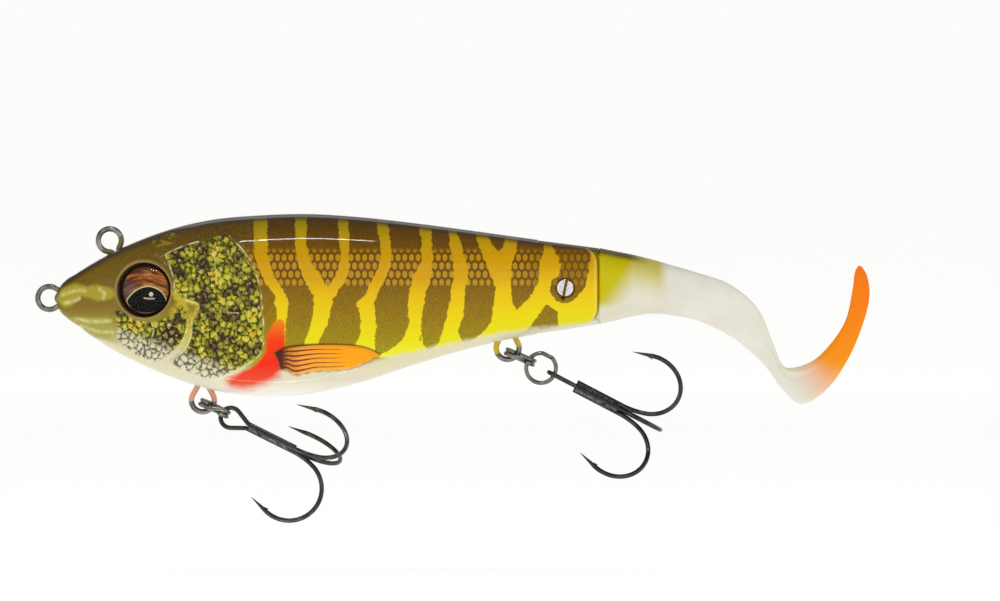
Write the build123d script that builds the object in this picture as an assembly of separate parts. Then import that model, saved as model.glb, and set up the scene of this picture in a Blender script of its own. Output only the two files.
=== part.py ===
from build123d import *
from math import cos, radians, sin
import os

# A swimbait with a hard two-shell body and a replaceable soft curl tail.
# Millimetres. Origin at the centre of the nose line tie, +X towards the tail, +Z up.
# The left side of the lure is at -Y.

# ---- driving dimensions -------------------------------------------------------------------
# Stations along the hard body: (X, top Z, bottom Z, half width)
BODY_STATIONS = [
    (1.5, 0.9, -1.0, 1.0),
    (2.3, 2.5, -2.8, 2.2),
    (3.6, 3.9, -4.2, 3.1),
    (5.5, 5.1, -5.6, 3.9),
    (8.5, 7.0, -7.8, 5.0),
    (14.1, 10.1, -11.4, 6.9),
    (20.5, 12.9, -14.6, 8.4),
    (27.0, 15.1, -17.3, 9.3),
    (34.5, 16.8, -19.7, 9.8),
    (45.0, 17.8, -21.1, 10.0),
    (56.0, 18.1, -20.6, 9.8),
    (66.0, 17.5, -18.4, 9.3),
    (78.0, 16.2, -14.5, 8.6),
    (91.0, 14.5, -10.7, 7.9),
    (104.0, 12.7, -7.9, 7.2),
    (117.8, 10.9, -5.7, 6.5),
]
SECTION_FULLNESS = 0.65  # how far a section's curve runs level before it turns, 0.55 is an ellipse
WALL = 1.9
BLOCK_REACH = 12.0  # farther out than the body's side
CAVITY_FRONT = (13.0, 7.5, -8.9, 4.6)
CAVITY_REAR = (100.0, 11.3, -6.8, 5.5)
CAVITY_END_GAP = 2.0  # between the cavity's ends and the nearest body station
# Solid seats left in the cavity for the wires, and two ribs: (X from, X to, Z from, Z to)
WIRE_SEATS = [(12.0, 19.5, 2.8, 13.0), (28.5, 37.5, -22.0, -9.0), (94.0, 102.0, -11.0, 1.0)]
RIBS = [(67.0, 68.6, -20.0, 18.0), (86.0, 87.6, -14.0, 16.0)]
WELD_PINS = [(26.0, 11.5), (62.0, 13.0), (90.5, 2.0)]
WELD_PIN_R = 1.0
WELD_STALK_R = 2.2
WELD_PIN_REACH = 1.0  # either side of the middle plane
WELD_PIN_PLAY = 0.03

# Bent wires
TIE_WIRE = 1.2
TIE_RING_R = 2.47  # to the wire's centreline
TIE_LOCK_R = 1.7  # the hidden inner loop
TIE_LOCK_LEAN = 40.0
TIE_LOCK_NECK_R = 1.2
TIE_LEG_GAP = 0.03  # half of it, between the two legs
# Necks below a ring: the angle of its closing runs, bend radius, straight length
SLIM_NECK = (30.0, 2.0, 0.6)
SHARP_NECK = (55.0, 1.2, 0.8)
GROOVE_PLAY = 0.04
NOSE_TIE_AT = (0.0, 0.0)
TOP_TIE_AT = (13.0, 12.4)
TOP_TIE_HEADING = -62.0
FRONT_HANGER_AT = (33.0, -22.0)
REAR_HANGER_AT = (98.5, -10.75)

# Eyes
EYE_AT = (20.7, 1.7)
EYE_YAW = 10.5  # the head narrows towards the nose, so the eyes look a little forward
EYE_SURFACE_Y = 8.35
EYE_SEAT_R = 5.45
EYE_RIM_R = 5.9
EYE_SEAT_DEPTH = 2.6
IRIS_R = 5.35
IRIS_THICK = 0.7
LENS_R = 5.2
LENS_EDGE = 1.1
LENS_RISE = 1.5

# Tail lock
SLOT_FRONT_X = 104.9
SLOT_HALF = 3.0
TONGUE_HALF = 2.8
SCREW_AT = (110.8, 2.15)
SCREW_HEAD_R = 1.87
SCREW_HEAD_H = 1.3
SCREW_HEAD_FACE_Y = -6.45
SCREW_SHANK_R = 1.0
SCREW_TIP_Y = 5.3
SCREW_PLAY = 0.15
SCREW_SLOT = (0.62, 0.65)  # width, depth
SCREW_SLOT_TILT = 12.0
INSERT_R = 1.9
INSERT_SPAN_Y = (3.1, 5.6)
PLATE_CORNER_R = 3.2
PLATE_TOP_Z = 10.2  # of the plate's rear edge, between its rounded corners
PLATE_BOTTOM_Z = -5.6

# Soft tail: (X, top Z, bottom Z, half width)
TAIL_STATIONS = [
    (118.1, 10.8, -5.7, 5.9),
    (121.5, 10.1, -4.9, 5.5),
    (125.0, 9.4, -4.0, 4.9),
    (129.5, 8.3, -3.4, 3.9),
    (134.0, 7.0, -3.8, 2.7),
    (139.0, 5.5, -4.8, 1.7),
]
TONGUE_STATIONS = [(104.0, 12.5, -7.6, 7.0), (112.0, 11.5, -6.6, 6.6), (119.0, 10.6, -5.5, 6.0)]
TAIL_HINGE_X = 125.0
TAIL_KNUCKLE_R = 4.9
TAIL_KNUCKLE_GAP = 0.3
TAIL_ROOT_END = 122.0
RIBBON_HALF = 1.0
# The ribbon's outline in side view, along its inner edge to the tip and back along its outer edge
RIBBON_INNER = [
    (137.0, 6.0), (146.1, 3.0), (152.3, -2.1), (156.0, -9.9), (158.3, -14.4),
    (161.5, -14.6), (166.7, -9.9), (170.6, -4.7), (172.5, 1.7), (172.9, 5.6), (173.8, 6.8),
]
RIBBON_OUTER = [
    (175.6, 4.8), (176.3, 0.4), (175.1, -4.7), (171.7, -12.5), (167.0, -19.2), (161.1, -22.6),
    (157.3, -19.2), (152.1, -12.5), (144.8, -7.3), (137.0, -4.4),
]

# Split rings: two turns of wire
RING_WIRE = 0.92
RING_R = 3.2
RING_PITCH = 0.94
RING_STEP_ANGLE = 20.0  # half of the arc over which the wire steps from turn to turn
RING_FREE_ANGLE = 26.0  # short of a full turn at the wire's free end
FRONT_RING_AT = (35.5, -23.7)
FRONT_RING_PITCH = -26.0  # degrees below the horizontal, towards the tail
REAR_RING_AT = (101.2, -12.7)
REAR_RING_PITCH = -23.2
REAR_LOWER_RING_OFFSET = (5.05, -0.40)  # along and across the upper ring

# Treble hooks
HOOK_WIRE = 1.0
HOOK_EYE_R = 2.2
HOOK_LEG_GAP = 0.53  # half the distance between the two wires of the eye hook
HOOK_SIDE_GAP = 0.918  # the side hooks lie in the valleys of that pair
HOOK_STRAIGHT = 11.0
HOOK_SWEEP_R, HOOK_SWEEP_ANGLE = 15.0, 20.0
HOOK_BEND_R, HOOK_BEND_ANGLE = 7.1, 178.0
HOOK_POINT_LENGTH = 4.3
HOOK_POINT_TIP_R = 0.05
HOOK_TAIL_LENGTH = 11.2
HOOK_EYE_LEAN, HOOK_NECK_R = 26.0, 1.2
HOOK_BARB = [(1.6, 0.1), (-0.15, 0.82), (0.35, 0.1)]  # along and across the point
BRAZE_SPAN = (0.4, 10.4)
BRAZE_RADII = (0.86, 1.2)
FRONT_HOOK_EYE_AT = (39.0, -25.75)
FRONT_HOOK_PITCH = -26.5
FRONT_HOOK_ROLL = 166.5  # of the eye hook, from straight up towards the left side
REAR_HOOK_PITCH = -27.5
REAR_HOOK_ROLL = -90.0
REAR_HOOK_EYE_DISTANCE = 4.1  # from the lower ring's centre

# Ballast: (X, Z, radius, half length)
BALLAST = {
    "front_ballast": (43.0, -12.6, 4.6, 5.2),
    "middle_ballast": (55.5, -12.4, 4.6, 5.2),
    "rear_ballast": (76.5, -7.8, 3.6, 4.4),
}
BALLAST_CHAMFER = 0.4
BALLAST_SEAT_WALL = 1.3
BALLAST_SEAT_DEPTH = 9.0  # below the weight's centre, down into the belly
BALLAST_SEAT_TOP = 1.0


# ---- helpers -----------------------------------------------------------------------------
def in_side_view(x, z):
    return Vector(x, 0, z)


def direction(pitch):
    """A unit vector in the side view, pitched up from +X."""
    return Vector(cos(radians(pitch)), 0, sin(radians(pitch)))


def half_section(x, top, bottom, half_width):
    """The +Y half of a cross section: two curves from the top, round the side, to the bottom."""
    middle, reach = (top + bottom) / 2, half_width * SECTION_FULLNESS
    rise = (top - middle) * SECTION_FULLNESS
    upper = Bezier((x, 0, top), (x, reach, top), (x, half_width, middle + rise), (x, half_width, middle))
    lower = Bezier(
        (x, half_width, middle), (x, half_width, middle - rise), (x, reach, bottom), (x, 0, bottom)
    )
    return make_face(Wire([upper, lower, Line(lower @ 1, upper @ 0)]))


def half_loft(stations):
    return loft([half_section(*station) for station in stations])


def both_halves(half):
    return half + mirror(half, about=Plane.XZ)


def fuse(shapes):
    solid = shapes[0]
    for shape in shapes[1:]:
        solid += shape
    return solid


def bend_wire(plane, start, heading, steps, diameter):
    """Sweeps a round wire along runs and bends in a plane. A step is a run's length,
    or (radius, angle) for a bend, positive to the left."""
    edges = []
    point, angle = Vector(*start), heading
    for step in steps:
        tangent = Vector(cos(radians(angle)), sin(radians(angle)))
        if isinstance(step, tuple):
            radius, turn = step
            edge = JernArc(point, tangent, radius, turn)
            angle += turn
        else:
            edge = Line(point, point + tangent * step)
        edges.append(edge)
        point = edge @ 1
    path = plane * Wire(edges)
    profile = Plane(path @ 0, z_dir=path % 0) * Circle(diameter / 2)
    return sweep(profile, path=path)


def teardrop(radius, leg, lean, neck_radius):
    """Half of a wire eye that closes into two parallel legs: its straight run, and how far
    the legs start from the eye's centre. lean is the run's angle to the legs."""
    c, s = cos(radians(lean)), sin(radians(lean))
    run = (radius * c - neck_radius * (1 - c) - leg) / s
    depth = radius * s + run * c + neck_radius * s
    return run, depth


# ---- formed wires of the body -------------------------------------------------------------
def line_tie(at, heading, lean, neck_radius, neck_length, diameter=TIE_WIRE):
    """A ring outside the body, a neck of two parallel legs, and an inner loop that locks it.
    heading is the neck's direction in the side view."""
    leg = TIE_WIRE / 2 + TIE_LEG_GAP
    run, depth = teardrop(TIE_RING_R, leg, lean, neck_radius)
    lock_run, _ = teardrop(TIE_LOCK_R, leg, TIE_LOCK_LEAN, TIE_LOCK_NECK_R)
    axis = direction(heading)
    plane = Plane(in_side_view(*at), x_dir=axis, z_dir=(0, -1, 0))
    start = (depth + neck_length, -leg)
    steps = [
        neck_length,
        (neck_radius, lean),
        run,
        (TIE_RING_R, -(180 + 2 * lean)),
        run,
        (neck_radius, lean),
        neck_length + 0.6,
        (TIE_LOCK_NECK_R, TIE_LOCK_LEAN),
        lock_run,
        (TIE_LOCK_R, -225),
    ]
    return bend_wire(plane, start, 180, steps, diameter)


def tie_parts(extra=0.0):
    """The four formed wires; extra widens them to cut their grooves."""
    wire = TIE_WIRE + extra
    return {
        "nose_line_tie": line_tie(NOSE_TIE_AT, 0, *SLIM_NECK, wire),
        "top_line_tie": line_tie(TOP_TIE_AT, TOP_TIE_HEADING, *SHARP_NECK, wire),
        "front_hook_hanger": line_tie(FRONT_HANGER_AT, 90, *SLIM_NECK, wire),
        "rear_hook_hanger": line_tie(REAR_HANGER_AT, 90, *SLIM_NECK, wire),
    }


# ---- eyes ---------------------------------------------------------------------------------
def eye_plane(side, depth=0.0):
    """The eye's axis plane on the side -1 (left) or +1 (right), depth below the skin."""
    outward = Vector(-sin(radians(EYE_YAW)), side * cos(radians(EYE_YAW)), 0)
    centre = Vector(EYE_AT[0], side * EYE_SURFACE_Y, EYE_AT[1])
    return Plane(centre - outward * depth, z_dir=outward)


def eye_socket(side):
    seat = extrude(eye_plane(side, EYE_SEAT_DEPTH) * Circle(EYE_SEAT_R), EYE_SEAT_DEPTH + 4)
    flare = loft([
        eye_plane(side, 0.9) * Circle(EYE_SEAT_R - 0.01),
        eye_plane(side, -1.4) * Circle(EYE_RIM_R + 0.7),
    ])
    return seat + flare


def iris(side):
    return extrude(eye_plane(side, EYE_SEAT_DEPTH) * Circle(IRIS_R), IRIS_THICK)


def lens(side):
    """A clear dome: a disc with a spherical cap."""
    base = eye_plane(side, EYE_SEAT_DEPTH - IRIS_THICK)
    sphere_r = (LENS_R ** 2 + LENS_RISE ** 2) / (2 * LENS_RISE)
    top = LENS_EDGE + LENS_RISE
    ball = base * Pos(0, 0, top - sphere_r) * Sphere(sphere_r)
    return extrude(base * Circle(LENS_R), top + 1) & ball


# ---- hard body ----------------------------------------------------------------------------
def body_half():
    return half_loft(BODY_STATIONS)


def cavity_half():
    inner = [
        (x, top - WALL, bottom + WALL, width - WALL)
        for x, top, bottom, width in BODY_STATIONS
        if CAVITY_FRONT[0] + CAVITY_END_GAP < x < CAVITY_REAR[0] - CAVITY_END_GAP
    ]
    return half_loft([CAVITY_FRONT] + inner + [CAVITY_REAR])


def side_block(x0, x1, z0, z1):
    """A block from the middle plane out past the shell's side."""
    size = Box(x1 - x0, BLOCK_REACH, z1 - z0)
    return Pos((x0 + x1) / 2, BLOCK_REACH / 2, (z0 + z1) / 2) * size


def across(x, z, radius, y0, y1):
    """A cylinder along Y."""
    return extrude(Plane(Vector(x, y0, z), z_dir=(0, 1, 0)) * Circle(radius), y1 - y0)


def stiffeners():
    """Solid plastic left inside the cavity: seats for the wires and weights, stalks for the
    weld pins, and two ribs."""
    blocks = [side_block(*limits) for limits in WIRE_SEATS + RIBS]
    for x, z, radius, _ in BALLAST.values():
        reach = radius + BALLAST_SEAT_WALL
        blocks.append(side_block(x - reach, x + reach, z - BALLAST_SEAT_DEPTH, z + BALLAST_SEAT_TOP))
    for x, z in WELD_PINS:
        blocks.append(across(x, z, WELD_STALK_R, 0, BLOCK_REACH))
    return fuse(blocks)


def weld_pins(radius, reach):
    return fuse([across(x, z, radius, -WELD_PIN_REACH, reach) for x, z in WELD_PINS])


def plate_trim():
    """What is cut away around the rounded rear corners of the side plate."""
    end_x = BODY_STATIONS[-1][0]
    outline = Polyline(
        (SLOT_FRONT_X, 14.0), (SLOT_FRONT_X, -9.0),
        (end_x - 3.7, PLATE_BOTTOM_Z - 0.5), (end_x, PLATE_BOTTOM_Z),
        (end_x, PLATE_TOP_Z), (end_x - 3.4, PLATE_TOP_Z + 1.0), close=True,
    )
    face = make_face(outline)
    corners = [v for v in face.vertices() if v.X > end_x - 0.01]
    face = fillet(corners, PLATE_CORNER_R)
    keep = extrude(Plane.XZ * face, 20, both=True)
    block = Pos(end_x - 2.4, 0, 0) * Box(8.0, 40, 60)
    return block - keep


def tongue_slot():
    length = 30
    return Pos(SLOT_FRONT_X + length / 2, 0, 0) * Box(length, 2 * SLOT_HALF, 60)


def rim_notch():
    """A small notch in the rim of the screw's recess."""
    x, z = SCREW_AT
    return Pos(x - 0.45, SCREW_HEAD_FACE_Y, z - SCREW_HEAD_R - 0.25) * Box(0.6, 2.0, 0.7)


def shell(side):
    """One half of the hard body; side is -1 for the left and +1 for the right."""
    solid = body_half() - (cavity_half() - stiffeners())
    if side < 0:
        seat_y = SCREW_HEAD_FACE_Y + SCREW_HEAD_H
        solid = mirror(solid, about=Plane.XZ) + weld_pins(WELD_PIN_R, WELD_PIN_REACH)
        solid -= across(*SCREW_AT, SCREW_SHANK_R + SCREW_PLAY, -BLOCK_REACH, 0)
        solid -= across(*SCREW_AT, SCREW_HEAD_R + SCREW_PLAY, -BLOCK_REACH, seat_y)
        solid -= rim_notch()
    else:
        solid -= weld_pins(WELD_PIN_R + WELD_PIN_PLAY, WELD_PIN_REACH + 0.1)
        solid -= across(*SCREW_AT, INSERT_R, 0, INSERT_SPAN_Y[1])
    solid -= tongue_slot()
    solid -= plate_trim()
    solid -= eye_socket(side)
    for wire in tie_parts(GROOVE_PLAY).values():
        solid -= wire
    for x, z, radius, half_length in BALLAST.values():
        solid -= across(x, z, radius, -half_length, half_length)
    return solid


def ballast(name):
    x, z, radius, half_length = BALLAST[name]
    return chamfer(across(x, z, radius, -half_length, half_length).edges(), BALLAST_CHAMFER)


# ---- tail lock ----------------------------------------------------------------------------
def lock_screw():
    face, head_h = SCREW_HEAD_FACE_Y, SCREW_HEAD_H
    head = across(*SCREW_AT, SCREW_HEAD_R, face, face + head_h)
    head = fillet(head.edges().sort_by(Axis.Y)[0], 0.25)
    shank = across(*SCREW_AT, SCREW_SHANK_R, face + head_h, SCREW_TIP_Y)
    shank = chamfer(shank.edges().sort_by(Axis.Y)[-1], 0.3)
    width, depth = SCREW_SLOT
    slot = Rot(0, SCREW_SLOT_TILT, 0) * Box(width, 2 * depth, 5)
    return head + shank - Pos(SCREW_AT[0], face, SCREW_AT[1]) * slot


def lock_insert():
    low, high = INSERT_SPAN_Y
    ring = across(*SCREW_AT, INSERT_R, low, high)
    return ring - across(*SCREW_AT, SCREW_SHANK_R + 0.06, low - 1, high + 1)


# ---- soft tail ----------------------------------------------------------------------------
def knuckle(radius):
    return Pos(TAIL_HINGE_X, 0, 0) * Cylinder(radius, 60)


def tail_root():
    """The part of the soft tail that stays with the body: its tongue in the slot, and a
    short full-width part that ends in a hollow for the blade's round front."""
    front = Pos(TAIL_ROOT_END - 10, 0, 0) * Box(20, 40, 60)
    body = half_loft(TAIL_STATIONS) & front
    start = SLOT_FRONT_X + SLOT_HALF - TONGUE_HALF
    end = TAIL_STATIONS[0][0] + 0.6
    between = Pos((start + end) / 2, TONGUE_HALF / 2, 0) * Box(end - start, TONGUE_HALF, 60)
    tongue = half_loft(TONGUE_STATIONS) & between
    solid = both_halves(body + tongue) - knuckle(TAIL_KNUCKLE_R + TAIL_KNUCKLE_GAP)
    return solid - across(*SCREW_AT, SCREW_SHANK_R + 0.3, -8, 8)


def tail_ribbon():
    inner = Spline(*RIBBON_INNER)
    outer = Spline(RIBBON_INNER[-1], *RIBBON_OUTER)
    root = Line(RIBBON_OUTER[-1], RIBBON_INNER[0])
    face = make_face(Wire([inner, outer, root]))
    return extrude(Plane.XZ * face, RIBBON_HALF, both=True)


def tail_blade():
    rear = Pos(TAIL_HINGE_X + 40, 0, 0) * Box(80, 60, 80)
    body = half_loft(TAIL_STATIONS)
    return both_halves((body & rear) + (body & knuckle(TAIL_KNUCKLE_R))) + tail_ribbon()


# ---- split rings --------------------------------------------------------------------------
def split_ring(centre, pitch, edge_on):
    """Two turns of wire, joined by a short step across. edge_on rings lie in the plane of
    their pitch direction and Y; the others lie in the side view's plane."""
    along = direction(pitch)
    normal = Vector(-along.Z, 0, along.X) if edge_on else Vector(0, 1, 0)
    step_from = Vector(0, -1, 0) if edge_on else direction(pitch + 90)
    plane = Plane(centre, x_dir=step_from, z_dir=normal)
    radius = RING_WIRE / 2
    lift = RING_PITCH / 2
    turns = []
    size = 360 - RING_STEP_ANGLE - RING_FREE_ANGLE
    for level, start in ((-lift, RING_FREE_ANGLE), (lift, RING_STEP_ANGLE)):
        arc = plane * Pos(0, 0, level) * CenterArc((0, 0), RING_R, start, size)
        profile = Plane(arc @ 0, z_dir=arc % 0) * Circle(radius)
        turns.append(sweep(profile, path=arc))
    x, y = RING_R * cos(radians(RING_STEP_ANGLE)), RING_R * sin(radians(RING_STEP_ANGLE))
    low = plane.from_local_coords(Vector(x, -y, -lift))
    high = plane.from_local_coords(Vector(x, y, lift))
    bridge = Solid.extrude(
        (Plane(low, z_dir=high - low) * Circle(radius)).face(), high - low
    )
    ring = turns[0] + turns[1] + bridge
    for joint in (low, high):
        ring += Pos(*joint) * Sphere(radius)
    return ring


def ring_frame(centre, pitch):
    """Along and across vectors of a ring in the side view, from its centre."""
    along = direction(pitch)
    return Vector(*in_side_view(*centre)), along, Vector(-along.Z, 0, along.X)


def rear_lower_ring_centre():
    centre, along, across_ring = ring_frame(REAR_RING_AT, REAR_RING_PITCH)
    return centre + along * REAR_LOWER_RING_OFFSET[0] + across_ring * REAR_LOWER_RING_OFFSET[1]


# ---- treble hooks -------------------------------------------------------------------------
HOOK_EYE_RUN, HOOK_EYE_DEPTH = teardrop(HOOK_EYE_R, HOOK_LEG_GAP, HOOK_EYE_LEAN, HOOK_NECK_R)
HOOK_STEPS = [HOOK_STRAIGHT, (HOOK_SWEEP_R, HOOK_SWEEP_ANGLE), (HOOK_BEND_R, HOOK_BEND_ANGLE)]


def hook_point(plane, offset):
    """The tapered point and its barb, where the bend ends."""
    sweep_angle = radians(HOOK_SWEEP_ANGLE)
    heading = HOOK_SWEEP_ANGLE + HOOK_BEND_ANGLE
    end = radians(heading - 90)
    start = radians(HOOK_SWEEP_ANGLE - 90)
    x = HOOK_STRAIGHT + HOOK_SWEEP_R * sin(sweep_angle) + HOOK_BEND_R * (cos(end) - cos(start))
    y = offset + HOOK_SWEEP_R * (1 - cos(sweep_angle)) + HOOK_BEND_R * (sin(end) - sin(start))
    local = plane * Pos(x, y, 0) * Rot(0, 0, heading)
    cone = local * Rot(0, 90, 0) * Pos(0, 0, HOOK_POINT_LENGTH / 2) * Cone(
        HOOK_WIRE / 2, HOOK_POINT_TIP_R, HOOK_POINT_LENGTH
    )
    barb_side = make_face(Polyline(*HOOK_BARB, close=True))
    barb = local * extrude(barb_side, 0.14, both=True)
    return cone + barb


def treble(eye_centre, pitch, roll):
    """The three nodes of one treble hook. roll turns the eye hook about the shank, from
    straight up towards the left side."""
    along = direction(pitch)
    up = Vector(-along.Z, 0, along.X)
    left = Vector(0, -1, 0)

    def outward(angle):
        return up * cos(radians(angle)) + left * sin(radians(angle))

    base = eye_centre + along * HOOK_EYE_DEPTH
    eye_side = outward(roll)
    valley = outward(roll + 90)

    main = Plane(base, x_dir=along, z_dir=along.cross(eye_side))
    loop = 180 + 2 * HOOK_EYE_LEAN
    eye_steps = [
        HOOK_TAIL_LENGTH, (HOOK_NECK_R, HOOK_EYE_LEAN), HOOK_EYE_RUN,
        (HOOK_EYE_R, -loop), HOOK_EYE_RUN, (HOOK_NECK_R, HOOK_EYE_LEAN),
    ]
    eye_wire = bend_wire(
        main, (HOOK_TAIL_LENGTH, -HOOK_LEG_GAP), 180, eye_steps + HOOK_STEPS, HOOK_WIRE
    )
    eye_hook = eye_wire + hook_point(main, HOOK_LEG_GAP)

    sides = []
    for sign in (1, -1):
        out = outward(roll + sign * 120)
        plane = Plane(base + valley * (sign * HOOK_SIDE_GAP), x_dir=along, z_dir=along.cross(out))
        sides.append(bend_wire(plane, (0, 0), 0, HOOK_STEPS, HOOK_WIRE) + hook_point(plane, 0))

    section = Plane(base + along * BRAZE_SPAN[0], x_dir=eye_side, z_dir=along)
    filler = Ellipse(*BRAZE_RADII)
    for place in ((HOOK_LEG_GAP, 0), (-HOOK_LEG_GAP, 0), (0, HOOK_SIDE_GAP), (0, -HOOK_SIDE_GAP)):
        filler -= Pos(*place) * Circle(HOOK_WIRE / 2 + 0.002)
    braze = extrude(section * filler, BRAZE_SPAN[1] - BRAZE_SPAN[0])
    return eye_hook, Compound(children=sides), braze


# ---- assembly -----------------------------------------------------------------------------
def build_parts():
    parts = {"left_body_shell": shell(-1), "right_body_shell": shell(1)}
    parts.update(tie_parts())
    for side, name in ((-1, "left"), (1, "right")):
        parts[name + "_eye_iris"] = iris(side)
        parts[name + "_eye_lens"] = lens(side)
    for name in BALLAST:
        parts[name] = ballast(name)
    parts["tail_lock_screw"] = lock_screw()
    parts["tail_lock_insert"] = lock_insert()
    parts["tail_root"] = tail_root()
    parts["tail_blade"] = tail_blade()

    lower_centre = rear_lower_ring_centre()
    parts["front_split_ring"] = split_ring(in_side_view(*FRONT_RING_AT), FRONT_RING_PITCH, True)
    parts["rear_upper_split_ring"] = split_ring(in_side_view(*REAR_RING_AT), REAR_RING_PITCH, True)
    parts["rear_lower_split_ring"] = split_ring(lower_centre, REAR_HOOK_PITCH, False)

    rear_eye = lower_centre + direction(REAR_HOOK_PITCH) * REAR_HOOK_EYE_DISTANCE
    hooks = {
        "front": treble(in_side_view(*FRONT_HOOK_EYE_AT), FRONT_HOOK_PITCH, FRONT_HOOK_ROLL),
        "rear": treble(rear_eye, REAR_HOOK_PITCH, REAR_HOOK_ROLL),
    }
    for name, (eye_hook, side_hooks, braze) in hooks.items():
        parts[name + "_treble_eye_hook"] = eye_hook
        parts[name + "_treble_side_hooks"] = side_hooks
        parts[name + "_treble_braze"] = braze
    return parts


os.makedirs("parts", exist_ok=True)
for part_name, part in build_parts().items():
    export_step(part, f"parts/{part_name}.step")
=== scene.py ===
"""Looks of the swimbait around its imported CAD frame.

Outlines and stations are in millimetres in the lure's side view (x, z) and become metres
when a mesh is made. +X runs to the tail, +Z up, and the left side of the lure is at -Y.
"""

import math

import bmesh
import bpy
import numpy as np
from mathutils import Matrix, Vector


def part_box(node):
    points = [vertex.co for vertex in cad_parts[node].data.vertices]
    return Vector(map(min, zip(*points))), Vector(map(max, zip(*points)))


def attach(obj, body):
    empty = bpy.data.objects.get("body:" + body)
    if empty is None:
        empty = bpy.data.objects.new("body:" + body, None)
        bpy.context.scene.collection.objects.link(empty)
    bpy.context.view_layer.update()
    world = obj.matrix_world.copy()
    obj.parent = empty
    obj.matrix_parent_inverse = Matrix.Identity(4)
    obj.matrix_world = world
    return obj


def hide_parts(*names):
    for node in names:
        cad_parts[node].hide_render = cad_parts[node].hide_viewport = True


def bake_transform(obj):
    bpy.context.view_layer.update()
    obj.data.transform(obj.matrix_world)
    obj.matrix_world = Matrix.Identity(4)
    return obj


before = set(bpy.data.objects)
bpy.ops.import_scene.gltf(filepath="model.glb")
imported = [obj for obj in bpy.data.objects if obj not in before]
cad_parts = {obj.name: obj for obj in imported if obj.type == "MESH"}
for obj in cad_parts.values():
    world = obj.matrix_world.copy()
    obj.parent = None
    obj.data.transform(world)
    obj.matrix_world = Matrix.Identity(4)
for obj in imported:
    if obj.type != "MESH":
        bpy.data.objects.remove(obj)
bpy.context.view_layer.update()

MM = 0.001

# ---- driving dimensions, as in the CAD source ----
# Stations along the hard body: (x, top z, bottom z, half width)
BODY_STATIONS = [
    (1.02, 0.02, -0.02, 0.02), (1.15, 0.4, -0.45, 0.45), (1.5, 1, -1.1, 1.1),
    (2.3, 2.5, -2.8, 2.2), (3.6, 3.9, -4.2, 3.1), (5.5, 5.1, -5.6, 3.9),
    (8.5, 7, -7.8, 5), (14.1, 10.1, -11.4, 6.9), (20.5, 12.9, -14.6, 8.4),
    (27, 15.1, -17.3, 9.3), (34.5, 16.8, -19.7, 9.8), (45, 17.8, -21.1, 10),
    (56, 18.1, -20.6, 9.8), (66, 17.5, -18.4, 9.3), (78, 16.2, -14.5, 8.6),
    (91, 14.5, -10.7, 7.9), (104, 12.7, -7.9, 7.2), (117.8, 10.9, -5.7, 6.5),
]
FULLNESS = 0.65
NOSE_X = 1.02
BODY_END = 117.8
SLOT_FRONT = 104.9
SLOT_HALF = 3.0
PLATE_CORNER_R = 3.2
RIM_ROUND = 0.6

EYE = (20.7, 1.7)
EYE_SURFACE_Y = 8.35
EYE_YAW = math.radians(10.5)
EYE_SEAT_R = 5.45
EYE_RIM_R = 5.9
EYE_SEAT_DEPTH = 2.6
IRIS_R = 5.35
IRIS_THICK = 0.7
LENS_R = 5.2
LENS_EDGE = 1.1
LENS_RISE = 1.5
LENS_IOR = 1.16

SCREW = (110.8, 2.15)
SCREW_WELL_R = 1.98
SCREW_WELL_DEPTH = 0.9
RIM_NOTCH = (110.35, 0.03)
NOTCH_R = 0.35

# ---- relief of the skin: heights and widths in millimetres ----
PLATE_STEP = 0.22
COARSE_BUMP = 0.46
FINE_BUMP = 0.12
BUMP_SINK = 0.18
RIDGE_HEIGHT, RIDGE_WIDTH = 0.30, 0.22
CHANNEL_DEPTH, CHANNEL_WIDTH = 0.12, 0.28
FIN_HEIGHT, RAY_GROOVE = 0.42, 0.10
EYE_RING_R, EYE_RING_HEIGHT, EYE_RING_WIDTH = 6.5, 0.30, 0.55
STREAK_DEPTH, STREAK_WIDTH = 0.16, 0.7
SEAM_DEPTH, SEAM_WIDTH = 0.10, 0.30  # the weld between the halves
COARSE_CELL, FINE_CELL = 1.35, 0.62
CELL_WARP = 0.38
PLATE_BEND_FROM = 106.0
RIM_FROM = 108.0

# ---- outlines in side view ----
OPERCULUM = [
    (25.3, 9.1), (29, 10.8), (32.7, 11.8), (35.2, 12.9), (37.6, 13.4), (39.6, 12.4),
    (41.9, 10), (43.8, 7), (45.2, 3.4), (45.8, -0.5), (46.2, -5.5), (46.2, -10.2),
    (45.2, -12.3), (40.4, -15.4), (35.4, -17.2), (30.7, -16), (26.6, -13.7),
    (29.4, -11.2), (30.9, -8.2), (31.1, -5.6), (32.7, -1.6), (30.2, -0.4), (27.9, 0.6),
    (27.3, 3.4), (26.4, 6.2),
]
CHEEK = [
    (14.2, -3.2), (15, -5.6), (14.7, -8.3), (16.9, -11), (19.6, -12.6), (23.2, -13.5),
    (26.2, -12), (28.6, -9.6), (29.9, -6.6), (30, -3.4), (29, -1.7), (27.6, -2.6),
    (25.3, -4.2), (22, -5), (18.6, -4.3), (15.9, -2.6),
]
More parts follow.
